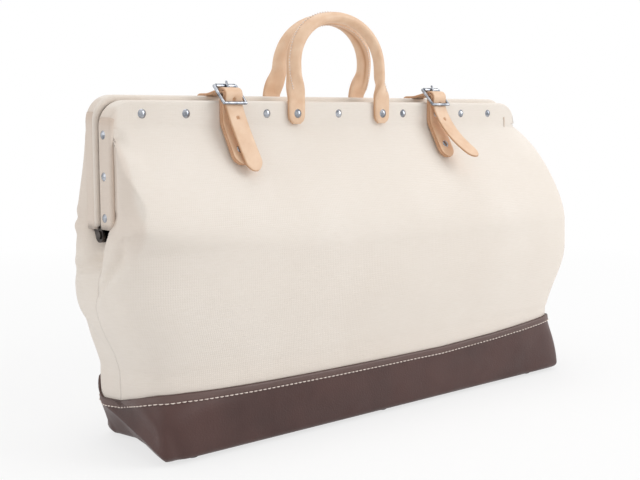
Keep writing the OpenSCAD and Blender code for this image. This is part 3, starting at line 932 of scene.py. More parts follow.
@dataclass(frozen=True)
class Drape:
    """How the slack canvas lies: folds and a tuck at the ends, and a soft unevenness all over."""

    ends_from: float = 262.0
    ends_run: float = 26.0
    tuck: float = 17.0
    tuck_z: Span = (112.0, 88.0, 232.0, 12.0)
    loose_tuck: float = 8.0
    loose_tuck_z: Span = (112.0, 88.0, 232.0, 56.0)
    tuck_w: tuple[float, float] = (19.0, 12.0)
    slack_z: Span = (74.0, 50.0, 300.0, 40.0)
    slack_ends: tuple[float, float] = (235.0, 40.0)
    slack: tuple[Slack, ...] = (
        Slack(middle=0.9, ends=1.9, size=150.0, seed=3.1),
        Slack(middle=0.3, ends=0.9, size=55.0, seed=7.7, squash=0.45),
    )
    # The front panel's left edge stands off the leg in a soft fold with a hollow behind it
    front_folds: tuple[EdgeFold, ...] = (
        EdgeFold(height=-4.5, y=-24.0, width=5.0, x=284.0, run=12.0, z=(206.0, 16.0, 308.0, 14.0)),
        EdgeFold(height=2.2, y=-38.0, width=7.0, x=270.0, run=20.0, z=(200.0, 30.0, 296.0, 20.0)),
    )
    left: tuple[Crease, ...] = (
        # Fold from the front leg's foot down across the end
        Crease(((-46.0, 206.0), (-40.0, 186.0), (-22.0, 167.0), (2.0, 148.0)), 4.4, 4.6),
        # Fold from behind, up towards the hinge
        Crease(((40.0, 168.0), (22.0, 173.0), (-8.0, 185.0)), 4.4, 4.2),
        # Level fold behind the rear leg
        Crease(((50.0, 219.0), (34.0, 219.5), (16.0, 218.0)), 1.6, 3.6),
        # Broad fold low down behind
        Crease(((52.0, 128.0), (30.0, 112.0), (18.0, 88.0)), 2.0, 9.0),
    )
    # Two folds run to the middle of the right end, from behind and from the buckle side
    right: tuple[Crease, ...] = (
        Crease(((44.0, 202.0), (30.0, 178.0), (4.0, 156.0)), 3.2, 6.0),
        Crease(((-44.0, 176.0), (-20.0, 172.0), (6.0, 184.0)), 2.8, 6.0),
    )

    def relief(self, p: Array, side: int) -> Array:
        """How far the cloth lies off its plain form.

        Args:
            p: rows of (x, y, z).
            side: -1 for the buckle side, 1 for the far side.
        Returns:
            Millimetres for each place, outward positive.
        """
        x, y, z = p.T
        rise = np.zeros(len(p))
        for folds, sign, tuck, span in (
            (self.left, -1, self.tuck, self.tuck_z),
            (self.right, 1, self.loose_tuck, self.loose_tuck_z),
        ):
            mask = ease((sign * x - self.ends_from) / self.ends_run)
            for fold in folds:
                rise += mask * fold.height(y, z)
            # The closed frame draws the cloth in behind the hinge, less so at the loose right end
            pull = within(z, span)
            rise -= mask * tuck * pull**1.5 * bell(y, mix(*self.tuck_w, pull))
        body = within(z, self.slack_z)
        ends = ease((np.abs(x) - self.slack_ends[0]) / self.slack_ends[1])
        for s in self.slack:
            uneven = ripple(p * [1, 1, s.squash], s.size, s.seed + side)
            rise += mix(s.middle, s.ends, ends) * body * uneven
        if side < 0:
            rise += sum(fold.relief(p) for fold in self.front_folds)
        return rise


# Boot


@dataclass
class Boot:
    """Coated outer tray: floor, walls, turned upper edge, its stitches and the board inside."""

    form: BodyForm
    cols: int = 420
    turned: float = 6.6
    lift: float = 0.9
    round_r: float = 4.5
    right_foot: float = 296.0
    foot_power: float = 30.0
    far_foot_power: float = 5.5
    board_inset: float = 5.0
    board_round: float = 0.5
    # The groove that the seam draws under the turned edge
    seam_depth: float = 0.5
    seam_drop: float = 0.9
    seam_w: float = 0.7
    floor_rings: tuple[float, ...] = (0.9, 0.6, 0.25)
    band_tone: float = 0.45
    foot_tone: float = 0.16
    # Heights of the upper edge along both sides, and across the left and the right end
    side_edge: Profile = (
        (-286.0, -252.0, -164.0, -77.0, 0.0, 77.0, 165.0, 267.0, 287.0),
        (61.0, 62.5, 61.0, 60.0, 59.5, 59.5, 63.0, 70.0, 70.5),
    )
    left_edge: Profile = (
        (-72.0, -43.0, -20.0, 0.0, 33.0, 60.0, 76.0),
        (61.0, 58.8, 53.2, 48.0, 44.5, 52.0, 60.0),
    )
    right_edge: Profile = ((-72.0, 0.0, 72.0), (70.0, 64.0, 68.0))
    left_end: tuple[float, float] = (274.0, 11.0)
    right_end: tuple[float, float] = (276.0, 10.0)
    right_run: float = 280.0
    corner_z: float = 60.0
    wall_rows: int = 34
    waves: tuple[Slack, ...] = (
        Slack(middle=0.8, ends=0.8, size=90.0, seed=12.3, squash=0.5),
        Slack(middle=0.3, ends=0.3, size=30.0, seed=4.4),
    )
    # Height across the left end of the ridge where its wall turns in, and how far it goes in
    ridge: Profile = ((-75.0, -48.0, -14.0, 12.0, 40.0, 75.0), (9.0, 18.0, 28.0, 35.0, 40.0, 42.0))
    turned_in: Profile = (
        (-75.0, -50.0, -20.0, 10.0, 40.0, 62.0, 75.0),
        (1.5, 8.0, 17.0, 22.0, 16.0, 7.0, 3.0),
    )
    # Where the folded end starts along the bag, and its run
    folded: tuple[float, float] = (262.0, 12.0)
    # The ridge's own height and width, and the hollow over it: depth, distance and width
    ridge_rise: tuple[float, float] = (1.6, 3.2)
    ridge_span: Span = (-76.0, 20.0, 40.0, 30.0)
    hollow: tuple[float, float, float] = (2.6, 13.0, 9.0)
    hollow_y: tuple[float, float] = (-72.0, 20.0)
    # The pinched corner: depth, width, place along the bag and how far it leans
    pinch: tuple[float, float, float, float] = (2.2, 6.0, 266.0, 0.35)
    # Where the pinch starts to the left, towards the buckles and downward, each with its run
    pinch_x: tuple[float, float] = (250.0, 20.0)
    pinch_y: tuple[float, float] = (40.0, 26.0)
    pinch_z: tuple[float, float] = (-46.0, 20.0)
    # Over the edge and down inside: height above the edge, way in and tone
    edge_rows: tuple[tuple[float, float, float], ...] = (
        (0.0, -0.3, 0.35), (-0.3, 0.8, 0.35), (0.4, 1.6, 0.35), (-8.0, 1.6, 0.1),
    )
    stitch_drop: float = 0.2
    stitch_pitch: float = 5.4
    stitch_len: float = 4.5
    stitch_d: float = 1.25

    def edge_z(self, x: Array, y: Array) -> Array:
        """Height of the upper edge round the bag.

        Args:
            x: places along the bag.
            y: places across it.
        Returns:
            A height for each place.
        """
        at_left = ease((-x - self.left_end[0]) / self.left_end[1])
        at_right = ease((x - self.right_end[0]) / self.right_end[1])
        edge = mix(np.interp(x, *self.side_edge), np.interp(y, *self.left_edge), at_left)
        return mix(edge, np.interp(y, *self.right_edge), at_right)

    def ring(self, share: float) -> Array:
        """One closed ring of the wall, shared out between the floor and the upper edge.

        Args:
            share: of the way from the floor to the upper edge.
        Returns:
            Rows of (x, y, z).
        """
        f = self.form
        up = float(ease(share))
        top, right = f.power(self.corner_z), mix(self.foot_power, f.right_power, up)
        size, half = [f.base_len / 2, f.base_w / 2], self.cols // 2 + 1
        near = resample(f.arc(mix(self.foot_power, top, up), right, f.fine) * size, half)
        far = resample(f.arc(mix(self.far_foot_power, top, up), right, f.fine) * size, half)
        plan = np.concatenate([near * [1, -1], far[-2:0:-1]])
        z = mix(f.floor_z, self.edge_z(plan[:, 0], plan[:, 1]), share)
        grow = f.boot_share * ease((z - f.floor_z) / (f.boot_top - f.floor_z))
        length = mix(f.base_len, f.bulge_len, grow) / f.base_len
        width = mix(f.base_w, f.bulge_w, grow) / f.base_w
        wider = mix(2 * self.right_foot / f.base_len, length, up)
        length = np.where(plan[:, 0] > 0, mix(length, wider, ease(plan[:, 0] / self.right_run)), length)
        return np.column_stack([plan[:, 0] * length, plan[:, 1] * width, z])

    def out_of(self, ring: Array) -> Array:
        """Level outward direction at each point of a ring.

        Args:
            ring: rows of (x, y, z), anticlockwise from above.
        Returns:
            Directions, one row each.
        """
        along = np.roll(ring, -1, axis=0) - np.roll(ring, 1, axis=0)
        way = np.column_stack([along[:, 1], -along[:, 0], np.zeros(len(ring))])
        return unit(way)

    def relief(self, ring: Array, share: float) -> Array:
        """How far the coating lies off its plain form: slack waves and the folded left end.

        Args:
            ring: places on the wall.
            share: of the way up.
        Returns:
            Millimetres for each place, outward positive.
        """
        x, y, z = ring.T
        wave = sum(s.middle * ripple(ring * [1, 1, s.squash], s.size, s.seed) for s in self.waves)
        rise = wave * ease(share * 4) * ease((1.02 - share) * 6)
        # Below a slanting ridge the left end is folded in under the bag
        end = ease((-x - self.folded[0]) / self.folded[1])
        ridge = np.interp(y, *self.ridge)
        under = np.clip((ridge - z) / (ridge - self.form.floor_z), 0, 1)
        rise -= end * under * np.interp(y, *self.turned_in)
        height, width = self.ridge_rise
        rise += end * height * bell(z - ridge, width) * within(y, self.ridge_span)
        depth, over, width = self.hollow
        start, run = self.hollow_y
        rise -= end * depth * bell(z - ridge - over, width) * ease((y - start) / run)
        # The corner itself is pinched into a fold
        near = np.ones(len(ring))
        for v, (start, run) in ((-x, self.pinch_x), (-y, self.pinch_y), (-z, self.pinch_z)):
            near *= ease((v - start) / run)
        depth, width, at, lean = self.pinch
        fold = bell(x + at + lean * (z - self.form.floor_z), width)
        return rise - near * depth * fold

    def build(self) -> list[bpy.types.Object]:
        """Makes the tray, its stitches and the board in it.

        Returns:
            The pieces.
        """
        rings: list[Array] = []
        tones: list[Array] = []
        shares = np.linspace(0, 1, self.wall_rows)
        top = self.ring(1.0)
        for share in shares:
            ring = self.ring(float(share))
            out = self.out_of(ring)
            height = ring[:, 2] - self.form.floor_z
            from_top = top[:, 2] - ring[:, 2]
            band = ease((self.turned + 0.7 - from_top) / 1.0)
            rolled = np.maximum(0, self.round_r - height) / self.round_r
            draw_in = -self.round_r * 0.6 * rolled**2
            puff = self.lift * band * (1 - 0.6 * ease((1.2 - from_top) / 1.2))
            seam = -self.seam_depth * bell(from_top - self.turned - self.seam_drop, self.seam_w)
            rise = draw_in + puff + seam + self.relief(ring, float(share))
            rings.append(ring + out * rise[:, None])
            tones.append(self.band_tone * band + self.foot_tone * rolled)
        out = self.out_of(top)
        for rise, inset, tint in self.edge_rows:
            rings.append(top - out * inset + [0, 0, rise])
            tones.append(np.full(len(top), tint))
        grid = np.array(rings)
        rows, cols = grid.shape[:2]
        faces = grid_faces(rows, cols, wrap=True)
        points = [grid.reshape(-1, 3)]
        tones += [np.zeros(cols)] * len(self.floor_rings)
        previous = np.arange(cols)
        for k, share in enumerate(self.floor_rings):
            points.append(grid[0] * [share, share, 0] + [0, 0, self.form.floor_z])
            base = (rows + k) * cols
            for c in range(cols):
                n = (c + 1) % cols
                faces.append((int(previous[n]), int(previous[c]), base + c, base + n))
            previous = np.arange(base, base + cols)
        faces.append(tuple(int(i) for i in reversed(previous)))
        cloth = Stuff.boot.material()
        tray = piece("boot_tray", np.concatenate(points), faces, cloth, None, np.concatenate(tones))
        wall = grid[: len(shares)]
        return [outward(tray), self.stitches(wall), self.board(wall)]

    def along_wall(self, wall: Array, heights: Array) -> Array:
        """The wall's line at a height that may change round the bag.

        Args:
            wall: the wall's rings.
            heights: the height for each column.
        Returns:
            Rows of (x, y, z).
        """
        line = np.empty((wall.shape[1], 3))
        for c in range(wall.shape[1]):
            for k in range(3):
                line[c, k] = np.interp(heights[c], wall[:, c, 2], wall[:, c, k])
        return line

    def board(self, wall: Array) -> bpy.types.Object:
        """The stiff board in the bottom, cut to the folded left end.

        Args:
            wall: the wall's rings.
        Returns:
            The piece.
        """
        low, high = (v[2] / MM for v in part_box("base_board"))
        line = self.along_wall(wall, np.full(wall.shape[1], low))
        line[:, 2] = 0
        line = line - self.out_of(line) * self.board_inset
        low_edge, high_edge = low + self.board_round, high - self.board_round
        rings = ((0.99, low), (1.0, low_edge), (1.0, high_edge), (0.99, high))
        slab = np.concatenate([line * [share, share, 0] + [0, 0, z] for share, z in rings])
        faces = tube_faces(len(rings), len(line))
        return outward(piece("base_board_cut", slab, faces, Stuff.board.material()))

    def stitches(self, wall: Array) -> bpy.types.Object:
        """White lock stitches along the lower edge of the turned band.

        Args:
            wall: the wall's rings.
        Returns:
            One piece with every stitch.
        """
        line = self.along_wall(wall, self.ring(1.0)[:, 2] - self.turned - self.stitch_drop)
        line = np.concatenate([line, line[:1]])
        count = int(distance(line)[-1] / self.stitch_pitch)
        fine = resample(line, count * 2 + 1)
        starts = fine[0:-1:2]
        ways = unit(np.diff(fine, axis=0)[0::2])
        outs = unit(np.column_stack([ways[:, 1], -ways[:, 0], np.zeros(len(ways))]))
        return seam_row("boot_stitches", starts, ways, outs, self.stitch_len, self.stitch_d)


def seam_row(
    name: str, starts: Array, ways: Array, outs: Array, length: float, thick: float
) -> bpy.types.Object:
    """Short raised stitches, each a thread that dips into the cloth at both ends.

    Args:
        name: the piece's name.
        starts: where each stitch begins.
        ways: its direction.
        outs: the direction away from the cloth.
        length: its length in millimetres.
        thick: the thread's thickness.
    Returns:
        One piece with every stitch.
    """
    sides, steps = 6, 5
    # Shares of the thread's thickness: how far it stands out, sinks in and thins at its ends
    proud, sunk, thin = 0.9, 0.25, 0.45
    points: list[Array] = []
    faces: list[Face] = []
    for p, way, out in zip(starts, ways, outs):
        across = np.cross(way, out)
        base = len(points) * sides
        for s in np.linspace(0, 1, steps):
            bow = math.sin(math.pi * s)
            middle = p + way * length * s + out * (thick * (proud * bow - sunk))
            width = thick / 2 * mix(thin, 1, bow)
            ring = [
                middle + width * (math.cos(a) * across + math.sin(a) * out)
                for a in np.linspace(0, 2 * math.pi, sides, endpoint=False)
            ]
            points.append(np.array(ring))
        faces += tube_faces(steps, sides, start=base)
    return outward(piece(name, np.concatenate(points), faces, Stuff.thread.material()))


# Canvas


@dataclass
class CanvasSide:
    """One canvas half: panel, half of each end gusset, and the turn over the frame."""

    form: BodyForm
    half: FrameHalf
    boot: Boot
    drape: Drape = field(default_factory=Drape)
    thick: float = 1.3
    low_z: float = 30.0
    free_z: float = 84.0
    overlap: float = 8.0
    cols: int = 281
    ring_rows: int = 62
    curtain_rows: int = 50
    wide_row: int = 40
    proud: float = 0.35
    round_r: float = 2.4
    turn_in: tuple[float, ...] = (9.0, 24.0)
    # The closed halves gape a little at their left corner
    gape: float = 1.2
    gape_from: float = 250.0
    gape_run: float = 30.0
    # Painted shade above the boot and up the left end, which faces away from the lamps: strength, where it
    # starts and its run
    boot_shade: tuple[float, float, float] = (0.1, 96.0, 34.0)
    end_shade: tuple[float, float, float] = (0.3, 292.0, 5.0)
    end_shade_z: tuple[float, float] = (170.0, 50.0)
    flat: tuple[float, float] = field(init=False, default=(0.0, 0.0))
    area: float = field(init=False, default=0.0)

    def levels(self) -> list[tuple[str, float]]:
        """The heights of the rows, as a kind and a value for each."""
        body = [("ring", z) for z in np.linspace(self.low_z, self.form.rim_z, self.ring_rows)]
        return body + [("curtain", v) for v in np.linspace(0, 1, self.curtain_rows)[1:]]

    def skin(self, inset: float) -> Array:
        """The rows of one face of the cloth up to the frame.

        Args:
            inset: how far inside the outer face.
        Returns:
            An array of rows by columns by three.
        """
        rows = []
        for kind, value in self.levels():
            if kind == "ring":
                row = self.form.half_ring(value, self.half.side, self.form.skin + inset, self.cols)
            else:
                row = self.form.curtain(value, self.half, inset, self.cols)
            rows.append(row)
        grid = np.array(rows)
        # The lowest rows follow the boot's upper edge and end just behind it
        edge = self.boot.edge_z(grid[..., 0], grid[..., 1]) - self.overlap
        share = (grid[..., 2] - self.low_z) / (self.free_z - self.low_z)
        grid[..., 2] = np.where(share < 1, mix(edge, self.free_z, share), grid[..., 2])
        return grid

    def push(self, grid: Array) -> Array:
        """Moves a plain skin out and in by the drape.

        Args:
            grid: rows by columns by three.
        Returns:
            The draped grid.
        """
        du = np.gradient(grid, axis=1)
        dv = np.gradient(grid, axis=0)
        normal = unit(np.cross(du, dv)) * -self.half.side
        normal[:, [0, -1], 1] = 0
        flat = grid.reshape(-1, 3)
        rise = self.drape.relief(flat, self.half.side).reshape(grid.shape[:2])
        return grid + normal * rise[..., None]

    def turn(self, last: Array, inset: float) -> Array:
        """Rows that carry the cloth up the frame's face, over its edge and into the mouth.

        Args:
            last: the row at the frame's lower edge.
            inset: how far inside the outer face.
        Returns:
            An array of rows by columns by three.
        """
        h, r = self.half, self.round_r - inset
        line, way = h.outline(inset - self.proud, 22, self.form.loose_end)
        keep = line[:, 1] >= h.top - h.corner - 0.01
        line, way = line[keep], way[keep]
        step, share = distance(line), np.linspace(0, 1, 200)
        left, length = line[0, 0], line[-1, 0] - line[0, 0]
        place = np.clip((last[:, 0] - left) / length, 0, 1)
        at = np.interp(place, share, np.interp(share, (line[:, 0] - left) / length, step))
        edge = np.column_stack([np.interp(at, step, line[:, k]) for k in (0, 1)])
        out = unit(np.column_stack([np.interp(at, step, way[:, k]) for k in (0, 1)]))
        face = h.face_y + self.proud - inset
        start = last[:, [0, 2]]
        places: list[tuple[Array, Any]] = []
        for s in np.linspace(0, 1, 9)[1:]:
            places.append((mix(start, edge - out * r, s), face))
        for a in np.radians([22, 45, 68, 90]):
            places.append((edge - out * r * (1 - math.sin(a)), face - r * (1 - math.cos(a))))
        inner = h.gap - 0.1 + inset + self.gape * ease((-edge[:, 0] - self.gape_from) / self.gape_run)
        for s in np.linspace(0, 1, 4)[1:]:
            places.append((edge, mix(face - r, inner + r, s)))
        for a in np.radians([30, 60, 90]):
            places.append((edge - out * r * (1 - math.cos(a)), inner + r * (1 - math.sin(a))))
        for depth in self.turn_in:
            places.append((edge - out * depth, inner))
        flat = np.zeros(len(edge))
        return np.array([np.column_stack([xz[:, 0], h.side * (y + flat), xz[:, 1]]) for xz, y in places])

    def build(self, name: str) -> bpy.types.Object:
        """Makes the cloth with both its faces and the turned edge.

        Args:
            name: the piece's name.
        Returns:
            The piece.
        """
        sides = []
        for inset in (0.0, self.thick):
            skin = self.push(self.skin(inset))
            face = self.half.face_y + self.proud - inset
            skin[-1, :, 1] = self.half.side * np.maximum(np.abs(skin[-1, :, 1]), face)
            sides.append(np.concatenate([skin, self.turn(skin[-1], inset)]))
        outer, inner = sides
        rows, cols = outer.shape[:2]
        points = np.concatenate([outer.reshape(-1, 3), inner.reshape(-1, 3)])
        m = rows * cols
        front, back = grid_faces(rows, cols), grid_faces(rows, cols, start=m)
        if self.half.side > 0:
            front = [tuple(reversed(f)) for f in front]
        else:
            back = [tuple(reversed(f)) for f in back]
        rim: list[Face] = []
        for row in (0, (rows - 1) * cols):
            rim += [(k, m + k, m + k + 1, k + 1) for k in range(row, row + cols - 1)]
        for col in (0, cols - 1):
            rim += [(k, m + k, m + k + cols, k + cols) for k in range(col, m - cols, cols)]
        uv, tone = self.flat_places(outer, inner), self.shade_tone(outer, inner)
        self.flat = tuple(float(v) for v in sorted(uv[:m].max(axis=0) * MM))
        du, dv = np.diff(outer, axis=1)[:-1], np.diff(outer, axis=0)[:, :-1]
        self.area = float(np.linalg.norm(np.cross(du, dv), axis=-1).sum()) * MM * MM
        return outward(piece(name, points, front + back + rim, Stuff.canvas.material(), uv, tone))

    def flat_places(self, outer: Array, inner: Array) -> Array:
        """Where each point lies on the cut cloth.

        Args:
            outer: the outer face, rows by columns by three.
            inner: the inner face.
        Returns:
            Places in millimetres, one row each.
        """
        middle = self.cols // 2
        sides = [cut_places(distance(g[self.wide_row]), distance(g[:, middle])) for g in (outer, inner)]
        return np.concatenate(sides)

    def shade_tone(self, outer: Array, inner: Array) -> Array:
        """How much painted shade each point has: a little above the boot and up the left end.

        Args:
            outer: the outer face, rows by columns by three.
            inner: the inner face.
        Returns:
            A tone for each point, from nought to one.
        """
        x, _, z = np.concatenate([outer.reshape(-1, 3), inner.reshape(-1, 3)]).T
        strength, start, run = self.boot_shade
        low = strength * ease((start - z) / run)
        strength, start, run = self.end_shade
        end = strength * ease((-x - start) / run)
        start, run = self.end_shade_z
        return np.clip(low + end * ease((z - start) / run), 0, 1)


@dataclass
class HemCover:
    """Canvas turned round the frame steel: a bent strip of C section along the U."""

    half: FrameHalf
    thick: float = 1.3
    back: float = 8.0
    edge_r: float = 2.2
    foot_edge: float = 0.6
    inner_edge: float = 0.4
    # A little painted shade, evenly over the whole hem
    tone: float = 0.1

    def section(self) -> Array:
        """The C section of the bent strip.

        Returns:
            Rows of (depth inside the outline, distance from the middle plane).
        """
        h, r, w = self.half, self.edge_r, self.half.face
        outer: list[tuple[float, float]] = [(self.back, h.gap)]
        for a in np.radians([90, 60, 30, 0]):
            outer.append((r - r * math.cos(a), h.gap + r - r * math.sin(a)))
        for a in np.radians([0, 30, 60, 90]):
            outer.append((r - r * math.cos(a), h.face_y - r + r * math.sin(a)))
        outer += [(w * 0.5, h.face_y), (w - self.foot_edge, h.face_y), (w, h.face_y - self.foot_edge)]
        t, bevel = self.thick, self.inner_edge
        inner = [
            (w, h.face_y - t),
            (t + bevel, h.face_y - t),
            (t, h.face_y - t - bevel),
            (t, h.gap + t + bevel),
            (t + bevel, h.gap + t),
            (self.back, h.gap + t),
        ]
        return np.array(outer + inner)

    def build(self, name: str) -> bpy.types.Object:
        """Makes the bent strip.

        Args:
            name: the piece's name.
        Returns:
            The piece.
        """
        line, way = self.half.outline()
        section = self.section()
        points = np.array([
            (x - nx * d, self.half.side * y, z - nz * d)
            for (x, z), (nx, nz) in zip(line, way)
            for d, y in section
        ])
        uv = cut_places(distance(section), distance(line))
        # Painted shade, the same at every point
        tone = np.full(len(points), self.tone)
        faces = tube_faces(len(line), len(section))
        return outward(piece(name, points, faces, Stuff.canvas.material(), uv, tone))


@dataclass
class LegSleeve:
    """Separate canvas strip wrapped round a leg's outer end, with its foot tucked in."""

    half: FrameHalf
    end: int
    top_z: float
    wrap: float = 4.0
    proud: float = 0.7
    edge_r: float = 3.0
    foot_r: float = 5.0
    foot_drop: float = 2.5
    # How far the strip stays off the middle plane at the left and at the right leg
    off_middle: tuple[float, float] = (0.9, -0.05)
    # How small the foot's first ring is, in depth and across
    tucked: tuple[float, float] = (0.5, 0.72)
    # Painted shade, since the end faces lie in shadow: the lower value on most of the strip, the higher in
    # its top 16 mm under the fold
    tone: tuple[float, float] = (0.42, 0.72)

    def build(self, name: str) -> bpy.types.Object:
        """Makes the strip.

        Args:
            name: the piece's name.
        Returns:
            The piece.
        """
        h, r = self.half, self.edge_r
        low = h.gap + self.off_middle[0 if self.end < 0 else 1]
        high = h.face_y + self.proud
        across: list[tuple[float, float]] = [(self.wrap, low)]
        for a in np.radians([90, 65, 40, 20, 0]):
            across.append((-self.proud + r - r * math.cos(a), low + r - r * math.sin(a)))
        for y in np.linspace(low + r, high - r, 5)[1:-1]:
            across.append((-self.proud, y))
        for a in np.radians([0, 20, 40, 65, 90]):
            across.append((-self.proud + r - r * math.cos(a), high - r + r * math.sin(a)))
        across.append((self.wrap, high))
        section = np.array(across)
        line, way = h.outline()
        if self.end > 0:
            line, way = line[::-1], way[::-1]
        run = line[:, 1] <= self.top_z
        stop = int(np.argmin(run)) if not run.all() else len(line)
        line, way = line[:stop], way[:stop]
        foot = h.leg_bottom - self.foot_drop
        rows = []
        middle = np.array([self.wrap * 0.6, (low + high) / 2])
        for s in np.sin(np.radians([0, 18, 36, 54, 72, 90])):
            z = foot + self.foot_r * (1 - s)
            ring = middle + (section - middle) * [mix(share, 1, s) for share in self.tucked]
            rows.append([(line[0, 0] - way[0, 0] * d, h.side * y, z) for d, y in ring])
        for (x, z), (nx, nz) in zip(line[1:], way[1:]):
            if z < foot + self.foot_r + 2 and nz == 0:
                continue
            rows.append([(x - nx * d, h.side * y, z - nz * d) for d, y in section])
        grid = np.array(rows)
        points = grid.reshape(-1, 3)
        uv = cut_places(distance(section), distance(grid[:, len(section) // 2 - 1]))
        # Painted shade, deepest just under the strip's top
        tone = mix(*self.tone, ease((points[:, 2] - self.top_z + 16) / 14))
        faces = tube_faces(*grid.shape[:2])
        return outward(piece(name, points, faces, Stuff.canvas.material(), uv, tone))


# Handles


@dataclass
class Handle:
    """Rolled leather handle: a strap rolled round a cord, closed by one stitched seam."""

    half: FrameHalf
    tilt: float
    sway: float
    seam_at: float
    twist: tuple[float, float, float]
    width: float = 120.0
    height: float = 96.0
    stretch: float = 3.3
    oval: tuple[float, float] = (7.8, 5.6)
    stitch_count: int = 104
    tab_w: float = 21.0
    tab_t: float = 5.0
    root_h: float = 26.0
    core_d: float = 8.6
    fold_rise: float = 4.0
    rivet_drop: float = 12.0
    front_top: float = 328.0
    sides: int = 28
    core_sides: int = 12
    arch_share: float = 0.4
    off_face: float = 0.4
    # The oval swings over this height, from a little under the fold
    sway_run: float = 30.0
    sway_drop: float = 4.0
    # Powers of the section: a flat tab, and the rolled part
    tab_power: float = 5.0
    roll_power: float = 2.0
    end_power: float = 2.4
    # The seam's raised lip and the groove beside it, darkened with painted shade, as angles round the
    # section
    lip_w: float = 0.3
    groove_at: float = 0.42
    groove_w: float = 0.16
    stitch_at: float = 0.12
    stitch_len: float = 2.0
    stitch_d: float = 1.25

    def place(self, points: Array) -> Array:
        """Takes points from the handle's own plane to the bag.

        Args:
            points: rows of (x, outward, z) from the fold line.
        Returns:
            Rows of (x, y, z).
        """
        h = self.half
        a = math.radians(self.tilt)
        x, o, z = points.T
        o = o + self.tab_t / 2
        above = np.maximum(z, 0)
        y = h.face_y + self.off_face + o * np.where(z > 0, math.cos(a), 1) - above * math.sin(a)
        up = o * np.where(z > 0, math.sin(a), 0) + above * math.cos(a) + np.minimum(z, 0)
        return np.column_stack([x + h.centre, h.side * y, up + h.top + self.fold_rise])

    def line(self) -> tuple[Array, Array]:
        """The handle's middle line from one tab's foot to the other's.

        Returns:
            Rows of (x, z) from the fold line, and the height up the nearer leg.
        """
        arch = self.width * self.arch_share
        leg = self.front_top - self.rivet_drop + self.height - arch - self.half.top - self.fold_rise
        foot = -(self.fold_rise + self.rivet_drop + self.tab_w / 2)
        t = np.linspace(0, math.pi, 61)
        rise = [*(foot + np.array([0, 0.3, 1.0, 2.2, 4.0, 6.2, 8.6])), *np.linspace(foot + 11, 0, 7)]
        rise += [*np.linspace(0, leg, 20)[1:]]
        left = [(-self.width / 2, z) for z in rise[:-1]]
        bow = [(-self.width / 2 * math.cos(a), leg + arch * math.sin(a)) for a in t]
        right = [(self.width / 2, z) for z in rise[-2::-1]]
        line = np.array(left + bow + right)
        near = np.minimum(line[:, 1], leg + self.sway_run)
        up = ease(line[:, 1] / (leg + arch))
        line[:, 0] += self.sway * ease((near + self.sway_drop) / self.sway_run)
        line[:, 1] += self.stretch * up
        return line, near

    @staticmethod
    def inward(line: Array) -> Array:
        """Direction towards the inside of the arch at each point of a line of (x, z)."""
        way = unit(np.gradient(line, axis=0))
        return np.column_stack([way[:, 1], -way[:, 0]])

    def section(self, share: float, rise: float, a: float) -> tuple[float, float, float]:
        """A point of the leather's section, from a flat tab to a rolled oval.

        Args:
            share: of the way along the handle.
            rise: height up the nearer leg from the fold line.
            a: the angle round the section.
        Returns:
            The place inward in the handle's plane, the place outward from it, and how far from
            the seam it lies, as an angle.
        """
        v = float(ease(rise / self.root_h))
        twist = math.radians(np.interp(share, (0.28, 0.5, 0.72), self.twist))
        face = mix(math.pi / 2, twist, v)
        if share > 0.5 and self.twist[2] > 180:
            face = mix(1.5 * math.pi, twist, v)
        power = mix(self.tab_power, self.roll_power, v)
        from_foot = rise + self.fold_rise + self.rivet_drop + self.tab_w / 2
        round_end = 1.0
        if from_foot < self.tab_w / 2:
            short = 1 - from_foot / (self.tab_w / 2)
            round_end = max(0.2, 1 - short**self.end_power) ** (1 / self.end_power)
        wide = mix(self.tab_w / 2 * round_end, self.oval[0], v)
        deep = mix(self.tab_t / 2 * min(1.0, 0.55 + from_foot / 4), self.oval[1], v**0.5)
        c, s = math.cos(a), math.sin(a)
        reach = (abs(c) ** power + abs(s) ** power) ** (-1 / power)
        off = (a - self.seam_at + math.pi) % (2 * math.pi) - math.pi
        lip = 0.5 * bell(off, self.lip_w) - 0.6 * bell(off - self.groove_at, self.groove_w)
        reach *= 1 + v * lip / deep
        w, d = wide * c * reach, deep * s * reach
        inward = w * math.sin(face) - d * math.cos(face)
        return inward, w * math.cos(face) + d * math.sin(face), off

    def grip(self, name: str) -> bpy.types.Object:
        """The leather of the handle: two flat riveted tabs and the rolled part between them.

        Args:
            name: the piece's name.
        Returns:
            The piece.
        """
        line, near = self.line()
        inward = self.inward(line)
        rows, tones = [], []
        for k, ((x, z), (ix, iz), rise) in enumerate(zip(line, inward, near)):
            v = float(ease(rise / self.root_h))
            ring, tone = [], []
            for a in np.linspace(0, 2 * math.pi, self.sides, endpoint=False):
                n, o, off = self.section(k / (len(line) - 1), rise, a)
                ring.append((x + ix * n, o, z + iz * n))
                side = 0.7 * (1 - v) * max(0.0, abs(math.cos(a)) - 0.8) * 5
                # The groove beside the seam gets painted shade in the leather's edge colour
                groove_shade = 0.85 * v * bell(off - self.groove_at, self.groove_w)
                tone.append(min(1.0, groove_shade + side))
            rows += ring
            tones += tone
        points = self.place(np.array(rows))
        faces = tube_faces(len(line), self.sides)
        return outward(piece(name, points, faces, Stuff.leather.material(), None, np.array(tones)))

    def core(self, name: str) -> bpy.types.Object:
        """The cord that fills the rolled part.

        Args:
            name: the piece's name.
        Returns:
            The piece.
        """
        line, near = self.line()
        line = line[near > self.root_h * 0.8]
        rows = []
        for (x, z), (ix, iz) in zip(line, self.inward(line)):
            for a in np.linspace(0, 2 * math.pi, self.core_sides, endpoint=False):
                n, o = self.core_d / 2 * math.cos(a), self.core_d / 2 * math.sin(a)
                rows.append((x + ix * n, o, z + iz * n))
        faces = tube_faces(len(line), self.core_sides)
        return outward(piece(name, self.place(np.array(rows)), faces, Stuff.rope.material()))

